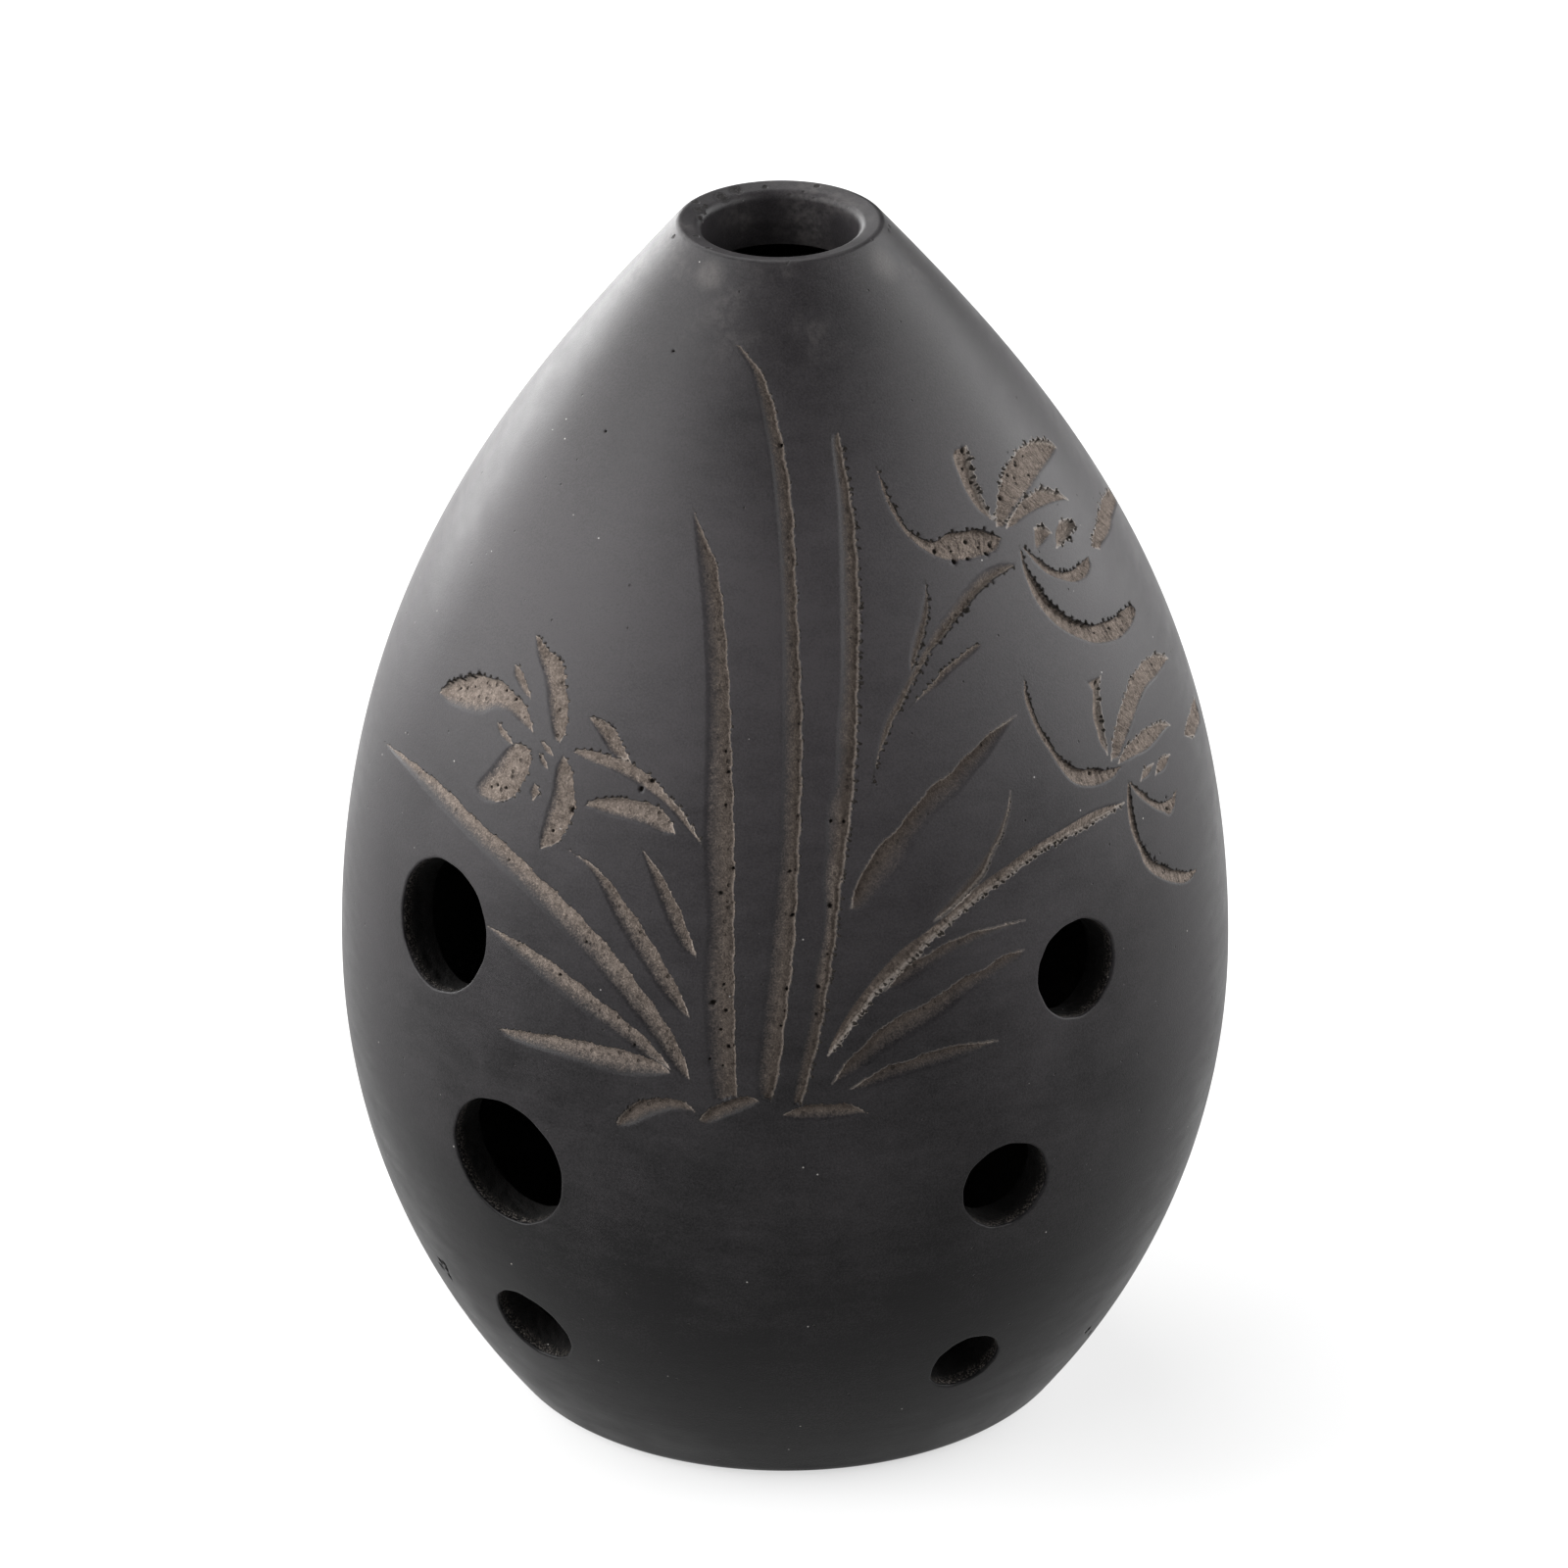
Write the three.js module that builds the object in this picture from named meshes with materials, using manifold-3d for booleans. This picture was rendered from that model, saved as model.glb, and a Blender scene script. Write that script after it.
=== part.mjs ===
// A globular clay flute, the xun: an egg-shaped air chamber with a flat base, a blowing hole in its
// crown, six finger holes in the front and two thumb holes in the back. Millimetres, +Z up. The origin
// is the middle of the base, and the front faces -Y.
import * as THREE from "three";
import { mergeVertices } from "three/addons/utils/BufferGeometryUtils.js";
import Module from "manifold-3d";

const wasm = await Module();
wasm.setup();

// Driving dimensions of the outside.
const bodyDiameter = 75;
const bodyHeight = 105;
const bellyHeight = 39;
const baseDiameter = 44.4;
const footRadius = 2.6;
const footLeanDegrees = 53;
const rimDiameter = 16.9;
const rimLeanDegrees = 40.4;

// How far the outline keeps its direction at each end of its two curves, as shares of their heights.
const bellyUpShare = 0.46;
const rimDownShare = 0.35;
const bellyDownShare = 0.56;
const footUpShare = 0.1;

// The clay: its wall, the floor of the chamber and the thin layers of slip that lute the joins.
const wallThickness = 3.2;
const baseThickness = 4;
const slipThickness = 0.6;

// The crown, where the player blows: a ring with a land that slopes in towards the blowing hole.
const mouthRingHeight = 5;
const mouthBore = 13;
const landDrop = 0.7;

// Finger holes: the height of each hole's middle, its bore, and how far round it is from the front.
const leftTopHeight = 51.8;
const leftTopBore = 11.2;
const leftTopTurnDegrees = -45.8;
const leftMiddleHeight = 32.8;
const leftMiddleBore = 11.5;
const leftMiddleTurnDegrees = -33.5;
const leftLowHeight = 15;
const leftLowBore = 7.6;
const leftLowTurnDegrees = -35.7;
const rightTopHeight = 49.9;
const rightTopBore = 8.3;
const rightTopTurnDegrees = 46.2;
const rightMiddleHeight = 32.1;
const rightMiddleBore = 8;
const rightMiddleTurnDegrees = 34.7;
const rightLowHeight = 13.2;
const rightLowBore = 6.2;
const rightLowTurnDegrees = 33.2;

// Thumb holes: a matched pair, each turned this far from the middle of the back.
const thumbHoleHeight = 46;
const thumbHoleBore = 9.5;
const thumbHoleTurnDegrees = 30;

// One overrun serves every cut. The facet counts are not sizes.
const cutOverrun = 10;
const facetsAround = 60;
const shoulderSteps = 21;
const bowlSteps = 10;
const footSteps = 4;
const holeFacets = 32;

const frontHoles = [
  { height: leftTopHeight, bore: leftTopBore, turn: leftTopTurnDegrees },
  { height: leftMiddleHeight, bore: leftMiddleBore, turn: leftMiddleTurnDegrees },
  { height: leftLowHeight, bore: leftLowBore, turn: leftLowTurnDegrees },
  { height: rightTopHeight, bore: rightTopBore, turn: rightTopTurnDegrees },
  { height: rightMiddleHeight, bore: rightMiddleBore, turn: rightMiddleTurnDegrees },
  { height: rightLowHeight, bore: rightLowBore, turn: rightLowTurnDegrees },
];
const halfTurnDegrees = 180;
const backHoles = [-thumbHoleTurnDegrees, thumbHoleTurnDegrees].map((turn) => ({
  height: thumbHoleHeight,
  bore: thumbHoleBore,
  turn: halfTurnDegrees + turn,
}));

// Fired clay, burnished outside, and the slip, which fires a little paler.
const burnishedClay = new THREE.MeshStandardMaterial({ color: 0x3c3c3e, roughness: 0.42, metalness: 0 });
const slipClay = new THREE.MeshStandardMaterial({ color: 0x4a4643, roughness: 0.7, metalness: 0 });

// A point of the outline: x is the distance from the axis, y the height.
function point(radius, height) {
  return new THREE.Vector2(radius, height);
}

// The direction that climbs at this angle above level, outwards.
function climb(degrees) {
  const angle = THREE.MathUtils.degToRad(degrees);
  return point(Math.cos(angle), Math.sin(angle));
}

// The outline of half the body, from the edge of the flat base up to the rim: the rounded foot, the
// bowl up to the belly and the shoulder up to the rim, each running smoothly into the next.
function outsideOutline() {
  const lean = THREE.MathUtils.degToRad(footLeanDegrees);
  const foot = [];
  for (let step = 0; step < footSteps; step++) {
    const angle = (lean * step) / footSteps;
    foot.push(
      point(baseDiameter / 2 + footRadius * Math.sin(angle), footRadius * (1 - Math.cos(angle))),
    );
  }
  const footTop = point(
    baseDiameter / 2 + footRadius * Math.sin(lean),
    footRadius * (1 - Math.cos(lean)),
  );
  const belly = point(bodyDiameter / 2, bellyHeight);
  const rim = point(rimDiameter / 2, bodyHeight);
  const bowlRise = belly.y - footTop.y;
  const shoulderRise = rim.y - belly.y;
  const bowl = new THREE.CubicBezierCurve(
    footTop,
    footTop.clone().addScaledVector(climb(footLeanDegrees), footUpShare * bowlRise),
    point(belly.x, belly.y - bellyDownShare * bowlRise),
    belly,
  );
  const shoulder = new THREE.CubicBezierCurve(
    belly,
    point(belly.x, belly.y + bellyUpShare * shoulderRise),
    rim.clone().addScaledVector(climb(-halfTurnDegrees / 2 + rimLeanDegrees), rimDownShare * shoulderRise),
    rim,
  );
  return [...foot, ...bowl.getPoints(bowlSteps), ...shoulder.getPoints(shoulderSteps).slice(1)];
}

// The outline moved in by the wall's thickness, square to itself.
function movedIn(outline) {
  return outline.map((here, i) => {
    const before = outline[Math.max(i - 1, 0)];
    const after = outline[Math.min(i + 1, outline.length - 1)];
    const along = after.clone().sub(before).normalize();
    return point(here.x - wallThickness * along.y, here.y + wallThickness * along.x);
  });
}

// The place on an outline where it passes a height.
function atHeight(outline, height) {
  const above = outline.findIndex((p) => p.y >= height);
  const next = above < 0 ? outline.length - 1 : Math.max(above, 1);
  const [from, to] = [outline[next - 1], outline[next]];
  return from.clone().lerp(to, (height - from.y) / (to.y - from.y));
}

// The stretch of an outline between two heights, with a point at each.
function between(outline, low, high) {
  const inner = outline.filter((p) => p.y > low && p.y < high);
  return [atHeight(outline, low), ...inner, atHeight(outline, high)];
}

const outside = outsideOutline();
const inside = movedIn(outside.slice(footSteps));

// Heights of the joins: the slip on the base, the slip under the mouth ring, and the throat, where the
// inside of the wall has drawn in to the blowing hole.
const baseSlipTop = baseThickness + slipThickness;
const mouthRingBottom = bodyHeight - mouthRingHeight;
const mouthSlipBottom = mouthRingBottom - slipThickness;

function throat() {
  const narrow = inside.findIndex((p) => p.y > bellyHeight && p.x < mouthBore / 2);
  if (narrow < 0) return inside.at(-1).clone();
  const [from, to] = [inside[narrow - 1], inside[narrow]];
  return from.clone().lerp(to, (mouthBore / 2 - from.x) / (to.x - from.x));
}

// A closed geometry as a solid that can be cut.
function solidOf(geometry) {
  const bare = geometry.clone();
  bare.deleteAttribute("normal");
  bare.deleteAttribute("uv");
  const merged = mergeVertices(bare);
  const corners = Array.from(merged.index.array);
  const kept = [];
  for (let i = 0; i < corners.length; i += 3) {
    const [a, b, c] = corners.slice(i, i + 3);
    if (a !== b && b !== c && c !== a) kept.push(a, b, c);
  }
  const mesh = new wasm.Mesh({
    numProp: 3,
    vertProperties: new Float32Array(merged.attributes.position.array),
    triVerts: new Uint32Array(kept),
  });
  return new wasm.Manifold(mesh);
}

// A section turned once round the axis.
function turned(section) {
  return solidOf(new THREE.LatheGeometry(section, facetsAround).rotateX(Math.PI / 2));
}

// A block between two opposite corners.
function block(low, high) {
  const size = high.clone().sub(low);
  const middle = low.clone().add(high).multiplyScalar(1 / 2);
  const box = new THREE.BoxGeometry(size.x, size.y, size.z);
  return solidOf(box.translate(middle.x, middle.y, middle.z));
}

// The whole wall between two heights, as a ring.
function wallBetween(low, high) {
  const outer = between(outside, low, high);
  return turned([...outer, ...between(inside, low, high).reverse(), outer[0].clone()]);
}

// A drill for one hole, square to the outside of the wall at the hole's middle.
function drill({ height, bore, turn }) {
  const length = wallThickness + 2 * cutOverrun;
  const here = atHeight(outside, height);
  const span = between(outside, height - bore / 2, height + bore / 2);
  const slope = span.at(-1).clone().sub(span[0]).normalize();
  const round = THREE.MathUtils.degToRad(turn);
  const outwards = new THREE.Vector3(
    slope.y * Math.sin(round),
    -slope.y * Math.cos(round),
    -slope.x,
  );
  const middle = new THREE.Vector3(here.x * Math.sin(round), -here.x * Math.cos(round), here.y);
  const shaft = new THREE.CylinderGeometry(bore / 2, bore / 2, length, holeFacets);
  shaft.applyQuaternion(new THREE.Quaternion().setFromUnitVectors(new THREE.Vector3(0, 1, 0), outwards));
  middle.addScaledVector(outwards, -wallThickness / 2);
  return solidOf(shaft.translate(middle.x, middle.y, middle.z));
}

const reach = bodyDiameter / 2 + cutOverrun;
const ceiling = bodyHeight + cutOverrun;
const sideWall = wallBetween(baseSlipTop, mouthSlipBottom);

// One pressed half of the wall, trimmed by half the seam's slip, with its holes drilled.
function shell(side, holes) {
  const seam = (side * slipThickness) / 2;
  const low = new THREE.Vector3(-reach, Math.min(seam, side * reach), -cutOverrun);
  const high = new THREE.Vector3(reach, Math.max(seam, side * reach), ceiling);
  const half = sideWall.intersect(block(low, high));
  return holes.reduce((wall, hole) => wall.subtract(drill(hole)), half);
}

// The slip that lutes the two halves together down one side.
function sideSeam(side) {
  const low = new THREE.Vector3(Math.min(0, side * reach), -slipThickness / 2, -cutOverrun);
  const high = new THREE.Vector3(Math.max(0, side * reach), slipThickness / 2, ceiling);
  return sideWall.intersect(block(low, high));
}

// The floor of the chamber: a disc that closes the bottom and carries the rounded foot.
function baseDisc() {
  return turned([point(0, 0), ...between(outside, 0, baseThickness), point(0, baseThickness)]);
}

// The blowing rim: it goes on up the shoulder, turns in over the land and down the blowing hole.
function mouthRing() {
  const outer = between(outside, mouthRingBottom, bodyHeight);
  const neck = throat();
  const inner = between(inside, mouthRingBottom, neck.y).reverse();
  const bore = [point(mouthBore / 2, bodyHeight - landDrop), point(mouthBore / 2, neck.y)];
  const section = [...outer, ...bore, ...inner, outer[0].clone()];
  return turned(section.filter((p, i) => i === 0 || p.distanceTo(section[i - 1]) > 0));
}

// A named piece made of one solid.
function piece(name, solid, material) {
  const made = solid.getMesh();
  const geometry = new THREE.BufferGeometry();
  geometry.setAttribute("position", new THREE.BufferAttribute(made.vertProperties, made.numProp));
  geometry.setIndex(new THREE.BufferAttribute(made.triVerts, 1));
  geometry.computeVertexNormals();
  const mesh = new THREE.Mesh(geometry, material);
  mesh.name = name;
  return mesh;
}

const xun = new THREE.Group();
xun.add(
  piece("front_shell", shell(-1, frontHoles), burnishedClay),
  piece("back_shell", shell(1, backHoles), burnishedClay),
  piece("base_disc", baseDisc(), burnishedClay),
  piece("mouth_ring", mouthRing(), burnishedClay),
  piece("left_seam_slip", sideSeam(-1), slipClay),
  piece("right_seam_slip", sideSeam(1), slipClay),
  piece("base_slip_ring", wallBetween(baseThickness, baseSlipTop), slipClay),
  piece("mouth_slip_ring", wallBetween(mouthSlipBottom, mouthRingBottom), slipClay),
);

export default xun;
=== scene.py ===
# %% [markdown]
# # A carved clay flute
#
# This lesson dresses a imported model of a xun, an egg-shaped flute of dark burnished clay with orchids cut
# into its front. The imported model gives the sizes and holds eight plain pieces. Here each of them gets a
# finely meshed piece of its own in the same place, with the knife cuts, chipped edges and drilled holes
# that the plain ones leave out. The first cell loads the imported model, which fixes where everything goes.

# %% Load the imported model
import math

import bpy
import numpy as np
from mathutils import Matrix, Vector
from mathutils.geometry import delaunay_2d_cdt
from mathutils.kdtree import KDTree


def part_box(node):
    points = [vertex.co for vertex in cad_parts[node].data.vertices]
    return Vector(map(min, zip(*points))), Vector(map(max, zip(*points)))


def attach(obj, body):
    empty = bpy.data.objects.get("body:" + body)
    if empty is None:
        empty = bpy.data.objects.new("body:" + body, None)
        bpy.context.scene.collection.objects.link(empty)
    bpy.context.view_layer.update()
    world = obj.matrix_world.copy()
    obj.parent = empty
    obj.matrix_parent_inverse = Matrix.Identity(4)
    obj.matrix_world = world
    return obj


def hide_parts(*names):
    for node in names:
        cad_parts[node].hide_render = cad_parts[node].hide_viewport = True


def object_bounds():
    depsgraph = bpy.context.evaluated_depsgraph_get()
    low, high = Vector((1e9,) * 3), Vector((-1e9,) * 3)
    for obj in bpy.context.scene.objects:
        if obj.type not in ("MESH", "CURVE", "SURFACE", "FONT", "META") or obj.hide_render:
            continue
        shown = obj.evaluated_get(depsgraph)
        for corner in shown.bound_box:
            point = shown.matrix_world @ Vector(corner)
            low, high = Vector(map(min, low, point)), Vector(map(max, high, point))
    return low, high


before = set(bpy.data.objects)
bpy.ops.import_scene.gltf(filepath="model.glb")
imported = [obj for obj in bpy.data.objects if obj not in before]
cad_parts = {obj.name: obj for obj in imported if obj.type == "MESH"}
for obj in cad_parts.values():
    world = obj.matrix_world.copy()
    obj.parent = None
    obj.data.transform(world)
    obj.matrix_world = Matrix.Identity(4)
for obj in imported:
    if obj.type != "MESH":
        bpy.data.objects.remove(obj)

MM = 0.001
packed_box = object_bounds()
print("packed pieces:", sorted(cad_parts))
print("packed box, mm:", [[round(v / MM, 2) for v in corner] for corner in packed_box])

# %% [markdown]
# ## The outline
#
# The body is a solid of revolution, so one outline describes it: a rounded foot, a bowl that swells to the
# belly, and a long shoulder that draws in to the blowing rim. It could be traced as many points, but two
# Bezier curves and a short arc have the same line with six numbers, and stay smooth however closely they
# are sampled. Each outline below is a dense polyline that can be asked for the place at any height.

# %% Sizes
BODY_RADIUS = packed_box[1][0]
BODY_HEIGHT = packed_box[1][2]
BELLY_HEIGHT = 39 * MM
BASE_RADIUS = 22.2 * MM
FOOT_RADIUS = 2.6 * MM
FOOT_LEAN = math.radians(53)
RIM_RADIUS = 8.45 * MM
RIM_LEAN = math.radians(40.4)
BELLY_UP_SHARE = 0.46
RIM_DOWN_SHARE = 0.35
BELLY_DOWN_SHARE = 0.56
FOOT_UP_SHARE = 0.1
FOOT_STEPS = 16
WALL = 3.2 * MM
BORE_RADIUS = 6.5 * MM
LAND_DROP = 0.4 * MM
FLOOR_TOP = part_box("base_disc")[1][2]
WALL_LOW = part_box("front_shell")[0][2]
WALL_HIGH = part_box("front_shell")[1][2]
RING_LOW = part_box("mouth_ring")[0][2]
SEAM_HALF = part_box("left_seam_slip")[1][1]


def bezier(start, start_handle, end_handle, end, steps):
    """Points along one cubic Bezier curve."""
    t = np.linspace(0, 1, steps)[:, None]
    a, b, c, d = (np.array(p, float) for p in (start, start_handle, end_handle, end))
    return (1 - t) ** 3 * a + 3 * t * (1 - t) ** 2 * b + 3 * t**2 * (1 - t) * c + t**3 * d


def outside_points(steps=240):
    """The outline from the edge of the flat base to the rim, as distance from the axis and height."""
    turn = np.linspace(0, FOOT_LEAN, FOOT_STEPS)
    foot = np.stack([BASE_RADIUS + FOOT_RADIUS * np.sin(turn), FOOT_RADIUS * (1 - np.cos(turn))], 1)
    belly = np.array([BODY_RADIUS, BELLY_HEIGHT])
    rim = np.array([RIM_RADIUS, BODY_HEIGHT])
    bowl_rise = belly[1] - foot[-1, 1]
    shoulder_rise = rim[1] - belly[1]
    up = np.array([0, 1])
    foot_up = np.array([math.cos(FOOT_LEAN), math.sin(FOOT_LEAN)])
    rim_down = np.array([math.sin(RIM_LEAN), -math.cos(RIM_LEAN)])
    bowl = bezier(
        foot[-1], foot[-1] + FOOT_UP_SHARE * bowl_rise * foot_up,
        belly - BELLY_DOWN_SHARE * bowl_rise * up, belly, steps,
    )
    shoulder = bezier(
        belly, belly + BELLY_UP_SHARE * shoulder_rise * up,
        rim + RIM_DOWN_SHARE * shoulder_rise * rim_down, rim, steps,
    )
    return np.vstack([foot, bowl[1:], shoulder[1:]])


class Outline:
    """One side of the wall: distance from the axis, height and outward normal, by place up it."""

    def __init__(self, points):
        step = np.hypot(*np.diff(points, axis=0).T)
        self.radius, self.height = points.T
        self.length = np.concatenate([[0], np.cumsum(step)])
        self.up = np.concatenate([[0], np.cumsum(step * 2 / (self.radius[1:] + self.radius[:-1]))])
        along = np.gradient(points, self.length, axis=0)
        along /= np.hypot(*along.T)[:, None]
        self.normal = np.stack([along[:, 1], -along[:, 0]], 1)

    def at(self, up):
        return [np.interp(up, self.up, v) for v in (self.radius, self.height, *self.normal.T)]

    def up_at(self, height):
        return np.interp(height, self.height, self.up)

    def radius_at(self, height):
        return np.interp(height, self.height, self.radius)


outside = Outline(outside_points())
inside = Outline((np.stack([outside.radius, outside.height], 1) - WALL * outside.normal)[FOOT_STEPS:])
print("outline length, mm:", round(outside.length[-1] / MM, 1))

# %% [markdown]
# ## The camera
#
# The flute was photographed from a little above with a long lens, which keeps its egg shape upright. The
# camera is set first here, because the carving is placed through it: each cut was measured as points in
# the photograph, and those points are cast from the camera on to the body. The picture leans by less than
# half a degree, so the camera rolls by as much.

# %% Camera
CAMERA_DISTANCE = 1000 * MM
CAMERA_ELEVATION = math.radians(26.08)
CAMERA_AZIMUTH = math.radians(5.4)
CAMERA_ROLL = math.radians(-0.42)
AIM = Vector((0, 0, 53.33 * MM))
PICTURE = 1600
PIXELS_PER_RADIAN = 12127
SENSOR = 36
NEAR_CLIP = 0.01
FAR_CLIP = 20

away = Vector((
    math.cos(CAMERA_ELEVATION) * math.sin(CAMERA_AZIMUTH),
    -math.cos(CAMERA_ELEVATION) * math.cos(CAMERA_AZIMUTH),
    math.sin(CAMERA_ELEVATION),
))
camera_data = bpy.data.cameras.new("camera")
camera_data.sensor_width = SENSOR
camera_data.lens = SENSOR * PIXELS_PER_RADIAN / PICTURE
camera_data.clip_start = NEAR_CLIP
camera_data.clip_end = FAR_CLIP
camera = bpy.data.objects.new("camera", camera_data)
camera.matrix_world = (
    Matrix.Translation(AIM + CAMERA_DISTANCE * away)
    @ away.to_track_quat("Z", "Y").to_matrix().to_4x4()
    @ Matrix.Rotation(CAMERA_ROLL, 4, "Z")
)
bpy.context.scene.collection.objects.link(camera)
bpy.context.scene.camera = camera
print("lens, mm:", round(camera_data.lens, 1))

# %% [markdown]
# ## Coordinates on the skin
#
# A point on the body is given by its turn around the axis, from the front towards the right, and by how far
# up the outline it is. The second number is divided by the distance from the axis as it is summed, as on a
# sailor's chart. On such a chart small shapes keep their form, so triangles that are even there are even on
# the clay, and cuts can be drawn flat. A body point's scale on the chart is its distance from the axis.

# %% From chart to body and back
# first, last and number of the places tried along a sight line
TRAIL_MM = (-60, 30, 361)
SIGHT_STEPS = 30
BELLY_PIXEL = (800, 900)


def halved(low, high, is_low, steps):
    """Halve the span from low to high, again and again, round the place where is_low turns false."""
    for _ in range(steps):
        middle = (low + high) / 2
        still = is_low(middle)
        low, high = np.where(still, middle, low), np.where(still, high, middle)
    return low, middle


def on_skin(side, turn, up, sunk=0):
    """The body points at chart places, on the inside or outside of the wall, sunk below it."""
    radius, height, normal_out, normal_up = side.at(up)
    radius = radius - sunk * normal_out
    return np.stack([radius * np.sin(turn), -radius * np.cos(turn), height - sunk * normal_up], 1)


def skin_normal(side, turn, up):
    normal_out, normal_up = side.at(up)[2:]
    return np.stack([normal_out * np.sin(turn), -normal_out * np.cos(turn), normal_up], 1)


def seen_at(pixels):
    """The chart places on the outside that the camera sees at pixels of the photograph."""
    pixels = np.array(pixels, float)
    steps = np.column_stack([
        (pixels[:, 0] - PICTURE / 2) / PIXELS_PER_RADIAN,
        (PICTURE / 2 - pixels[:, 1]) / PIXELS_PER_RADIAN,
        -np.ones(len(pixels)),
    ]) @ np.array(camera.matrix_world.to_3x3()).T
    start = np.array(camera.matrix_world.translation)

    def gap(distance):
        place = start + distance[:, None] * steps
        return np.hypot(place[:, 0], place[:, 1]) - outside.radius_at(place[:, 2])

    trail = CAMERA_DISTANCE + np.linspace(*TRAIL_MM) * MM
    gaps = np.array([gap(np.full(len(pixels), d)) for d in trail])
    first = np.argmax(gaps < 0, axis=0)
    near = np.where(gaps.min(axis=0) < 0, trail[np.maximum(first - 1, 0)], trail[gaps.argmin(axis=0)])
    far = np.where(gaps.min(axis=0) < 0, trail[first], near)
    near = halved(near, far, lambda distance: gap(distance) > 0, SIGHT_STEPS)[0]
    place = start + near[:, None] * steps
    return np.column_stack([np.arctan2(place[:, 0], -place[:, 1]), outside.up_at(place[:, 2])])


print("belly is at chart place", seen_at([BELLY_PIXEL]).round(3))

# %% [markdown]
# ## The knife cuts
#
# The plants were cut into the burnished clay after firing. Each stroke is one slanting cut: it goes in
# steeply along one edge and comes out gently along the other, so an outline of two lines describes it. They
# could be painted into the colour, but then they would vanish from the mesh and catch no light. So each cut
# is a pair of lines, the steep edge first, in pixels of the photograph.

# %% Stalks and ground
stalk_cuts = {
    "short_stalk": (
        "707,518 718,545 731,577 739,632 744,700 746,758 749,860 749,982 750,1064 752,1118",
        "707,518 713,575 718,626 721,700 721,758 718,860 722,942 717,1003 722,1084 728,1123",
    ),
    "tall_stalk": (
        "747,346 762,360 782,390 798,448 809,519 813,604 817,686 819,758 816,860 811,962 803,1033 "
            "795,1095 787,1124",
        "747,346 757,362 768,382 783,451 788,484 794,549 798,632 798,758 796,860 789,921 781,1003 "
            "772,1095 774,1117",
    ),
    "right_stalk": (
        "856,440 864,481 872,527 876,577 878,632 876,697 875,750 871,814 865,860 858,913 852,967 "
            "845,1012 837,1058 828,1092 818,1129",
        "856,440 849,450 856,522 858,632 858,700 854,738 852,795 843,824 843,864 839,898 841,929 837,967 "
            "829,997 826,1035 816,1081 808,1121",
    ),
    "ground_left": (
        "628,1146 636,1135 650,1125 668,1121 686,1122 700,1126 711,1135",
        "628,1146 632,1150 646,1148 664,1140 679,1135 693,1133 711,1135",
    ),
    "ground_middle": (
        "712,1143 726,1131 751,1121 767,1120 776,1124",
        "712,1143 722,1148 743,1140 763,1132 776,1124",
    ),
    "ground_right": (
        "797,1138 820,1129 845,1127 869,1128 896,1141",
        "797,1138 814,1142 855,1141 882,1136 896,1141",
    ),
}
print("stalks and ground:", len(stalk_cuts), "cuts")

# %% Leaves and flower on the left
left_cuts = {
    "leaf_long": (
        "391,756 423,779 456,806 488,838 524,869 553,898 575,918 623,969 668,1028 694,1071 705,1104",
        "391,756 416,785 452,826 488,864 524,898 551,926 605,985 655,1045 688,1090 705,1104",
    ),
    "leaf_hole": (
        "490,941 500,946 557,978 623,1030 659,1060 687,1094",
        "490,941 500,948 520,968 546,992 580,1021 619,1049 660,1080 687,1094",
    ),
    "leaf_flat": (
        "507,1049 557,1056 605,1065 650,1076 678,1089 685,1096",
        "507,1049 525,1062 587,1083 632,1097 667,1098 685,1096",
    ),
    "leaf_inner": (
        "577,865 612,889 641,926 668,967 694,1014 705,1040",
        "577,865 605,892 632,946 668,1003 691,1031 705,1040",
    ),
    "leaf_small": ("654,864 673,890 694,930 712,979", "654,864 659,880 676,928 694,965 712,979"),
    "left_crescent": (
        "448,707 457,697 470,692 488,689 510,695 528,711 538,725 545,749",
        "448,707 461,720 488,729 504,724 517,726 528,735 545,749",
    ),
    "left_sliver_high": ("526,677 533,686 538,700 543,715", "526,677 524,688 528,697 535,708 543,715"),
    "left_petal_top": (
        "546,646 560,664 571,672 576,691 579,720 577,745 571,759",
        "546,646 549,670 556,695 560,727 565,752 571,759",
    ),
    "left_sliver_low": ("507,735 516,747 525,761", "507,735 509,748 517,757 525,761"),
    "left_petal_low": (
        "526,758 538,763 541,774 538,788 529,806 519,815 506,819",
        "526,758 515,766 499,785 487,799 486,808 492,816 506,819",
    ),
    "left_centre_a": ("550,754 560,762 566,773", "550,754 557,768 566,773"),
    "left_centre_b": ("549,766 556,775 560,786", "549,766 552,780 560,786"),
    "left_centre_c": ("546,798 549,808 544,818", "546,798 541,808 544,818"),
    "left_petal_right": (
        "575,770 582,785 585,799 586,821 580,842 567,860 551,867",
        "575,770 567,785 563,810 556,832 551,855 551,867",
    ),
    "left_stem": (
        "583,767 596,765 625,772 654,785 675,805 697,830 720,867",
        "583,767 603,778 632,790 654,803 679,821 697,841 720,867",
    ),
    "left_bud": ("600,731 614,734 628,747 637,765 645,779", "600,731 610,747 621,765 634,777 645,779"),
    "left_leaflet": (
        "596,822 610,815 639,815 664,821 681,832 690,851",
        "596,822 625,833 654,841 675,850 690,851",
    ),
}
print("leaves and flower on the left:", len(left_cuts), "cuts")

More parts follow.
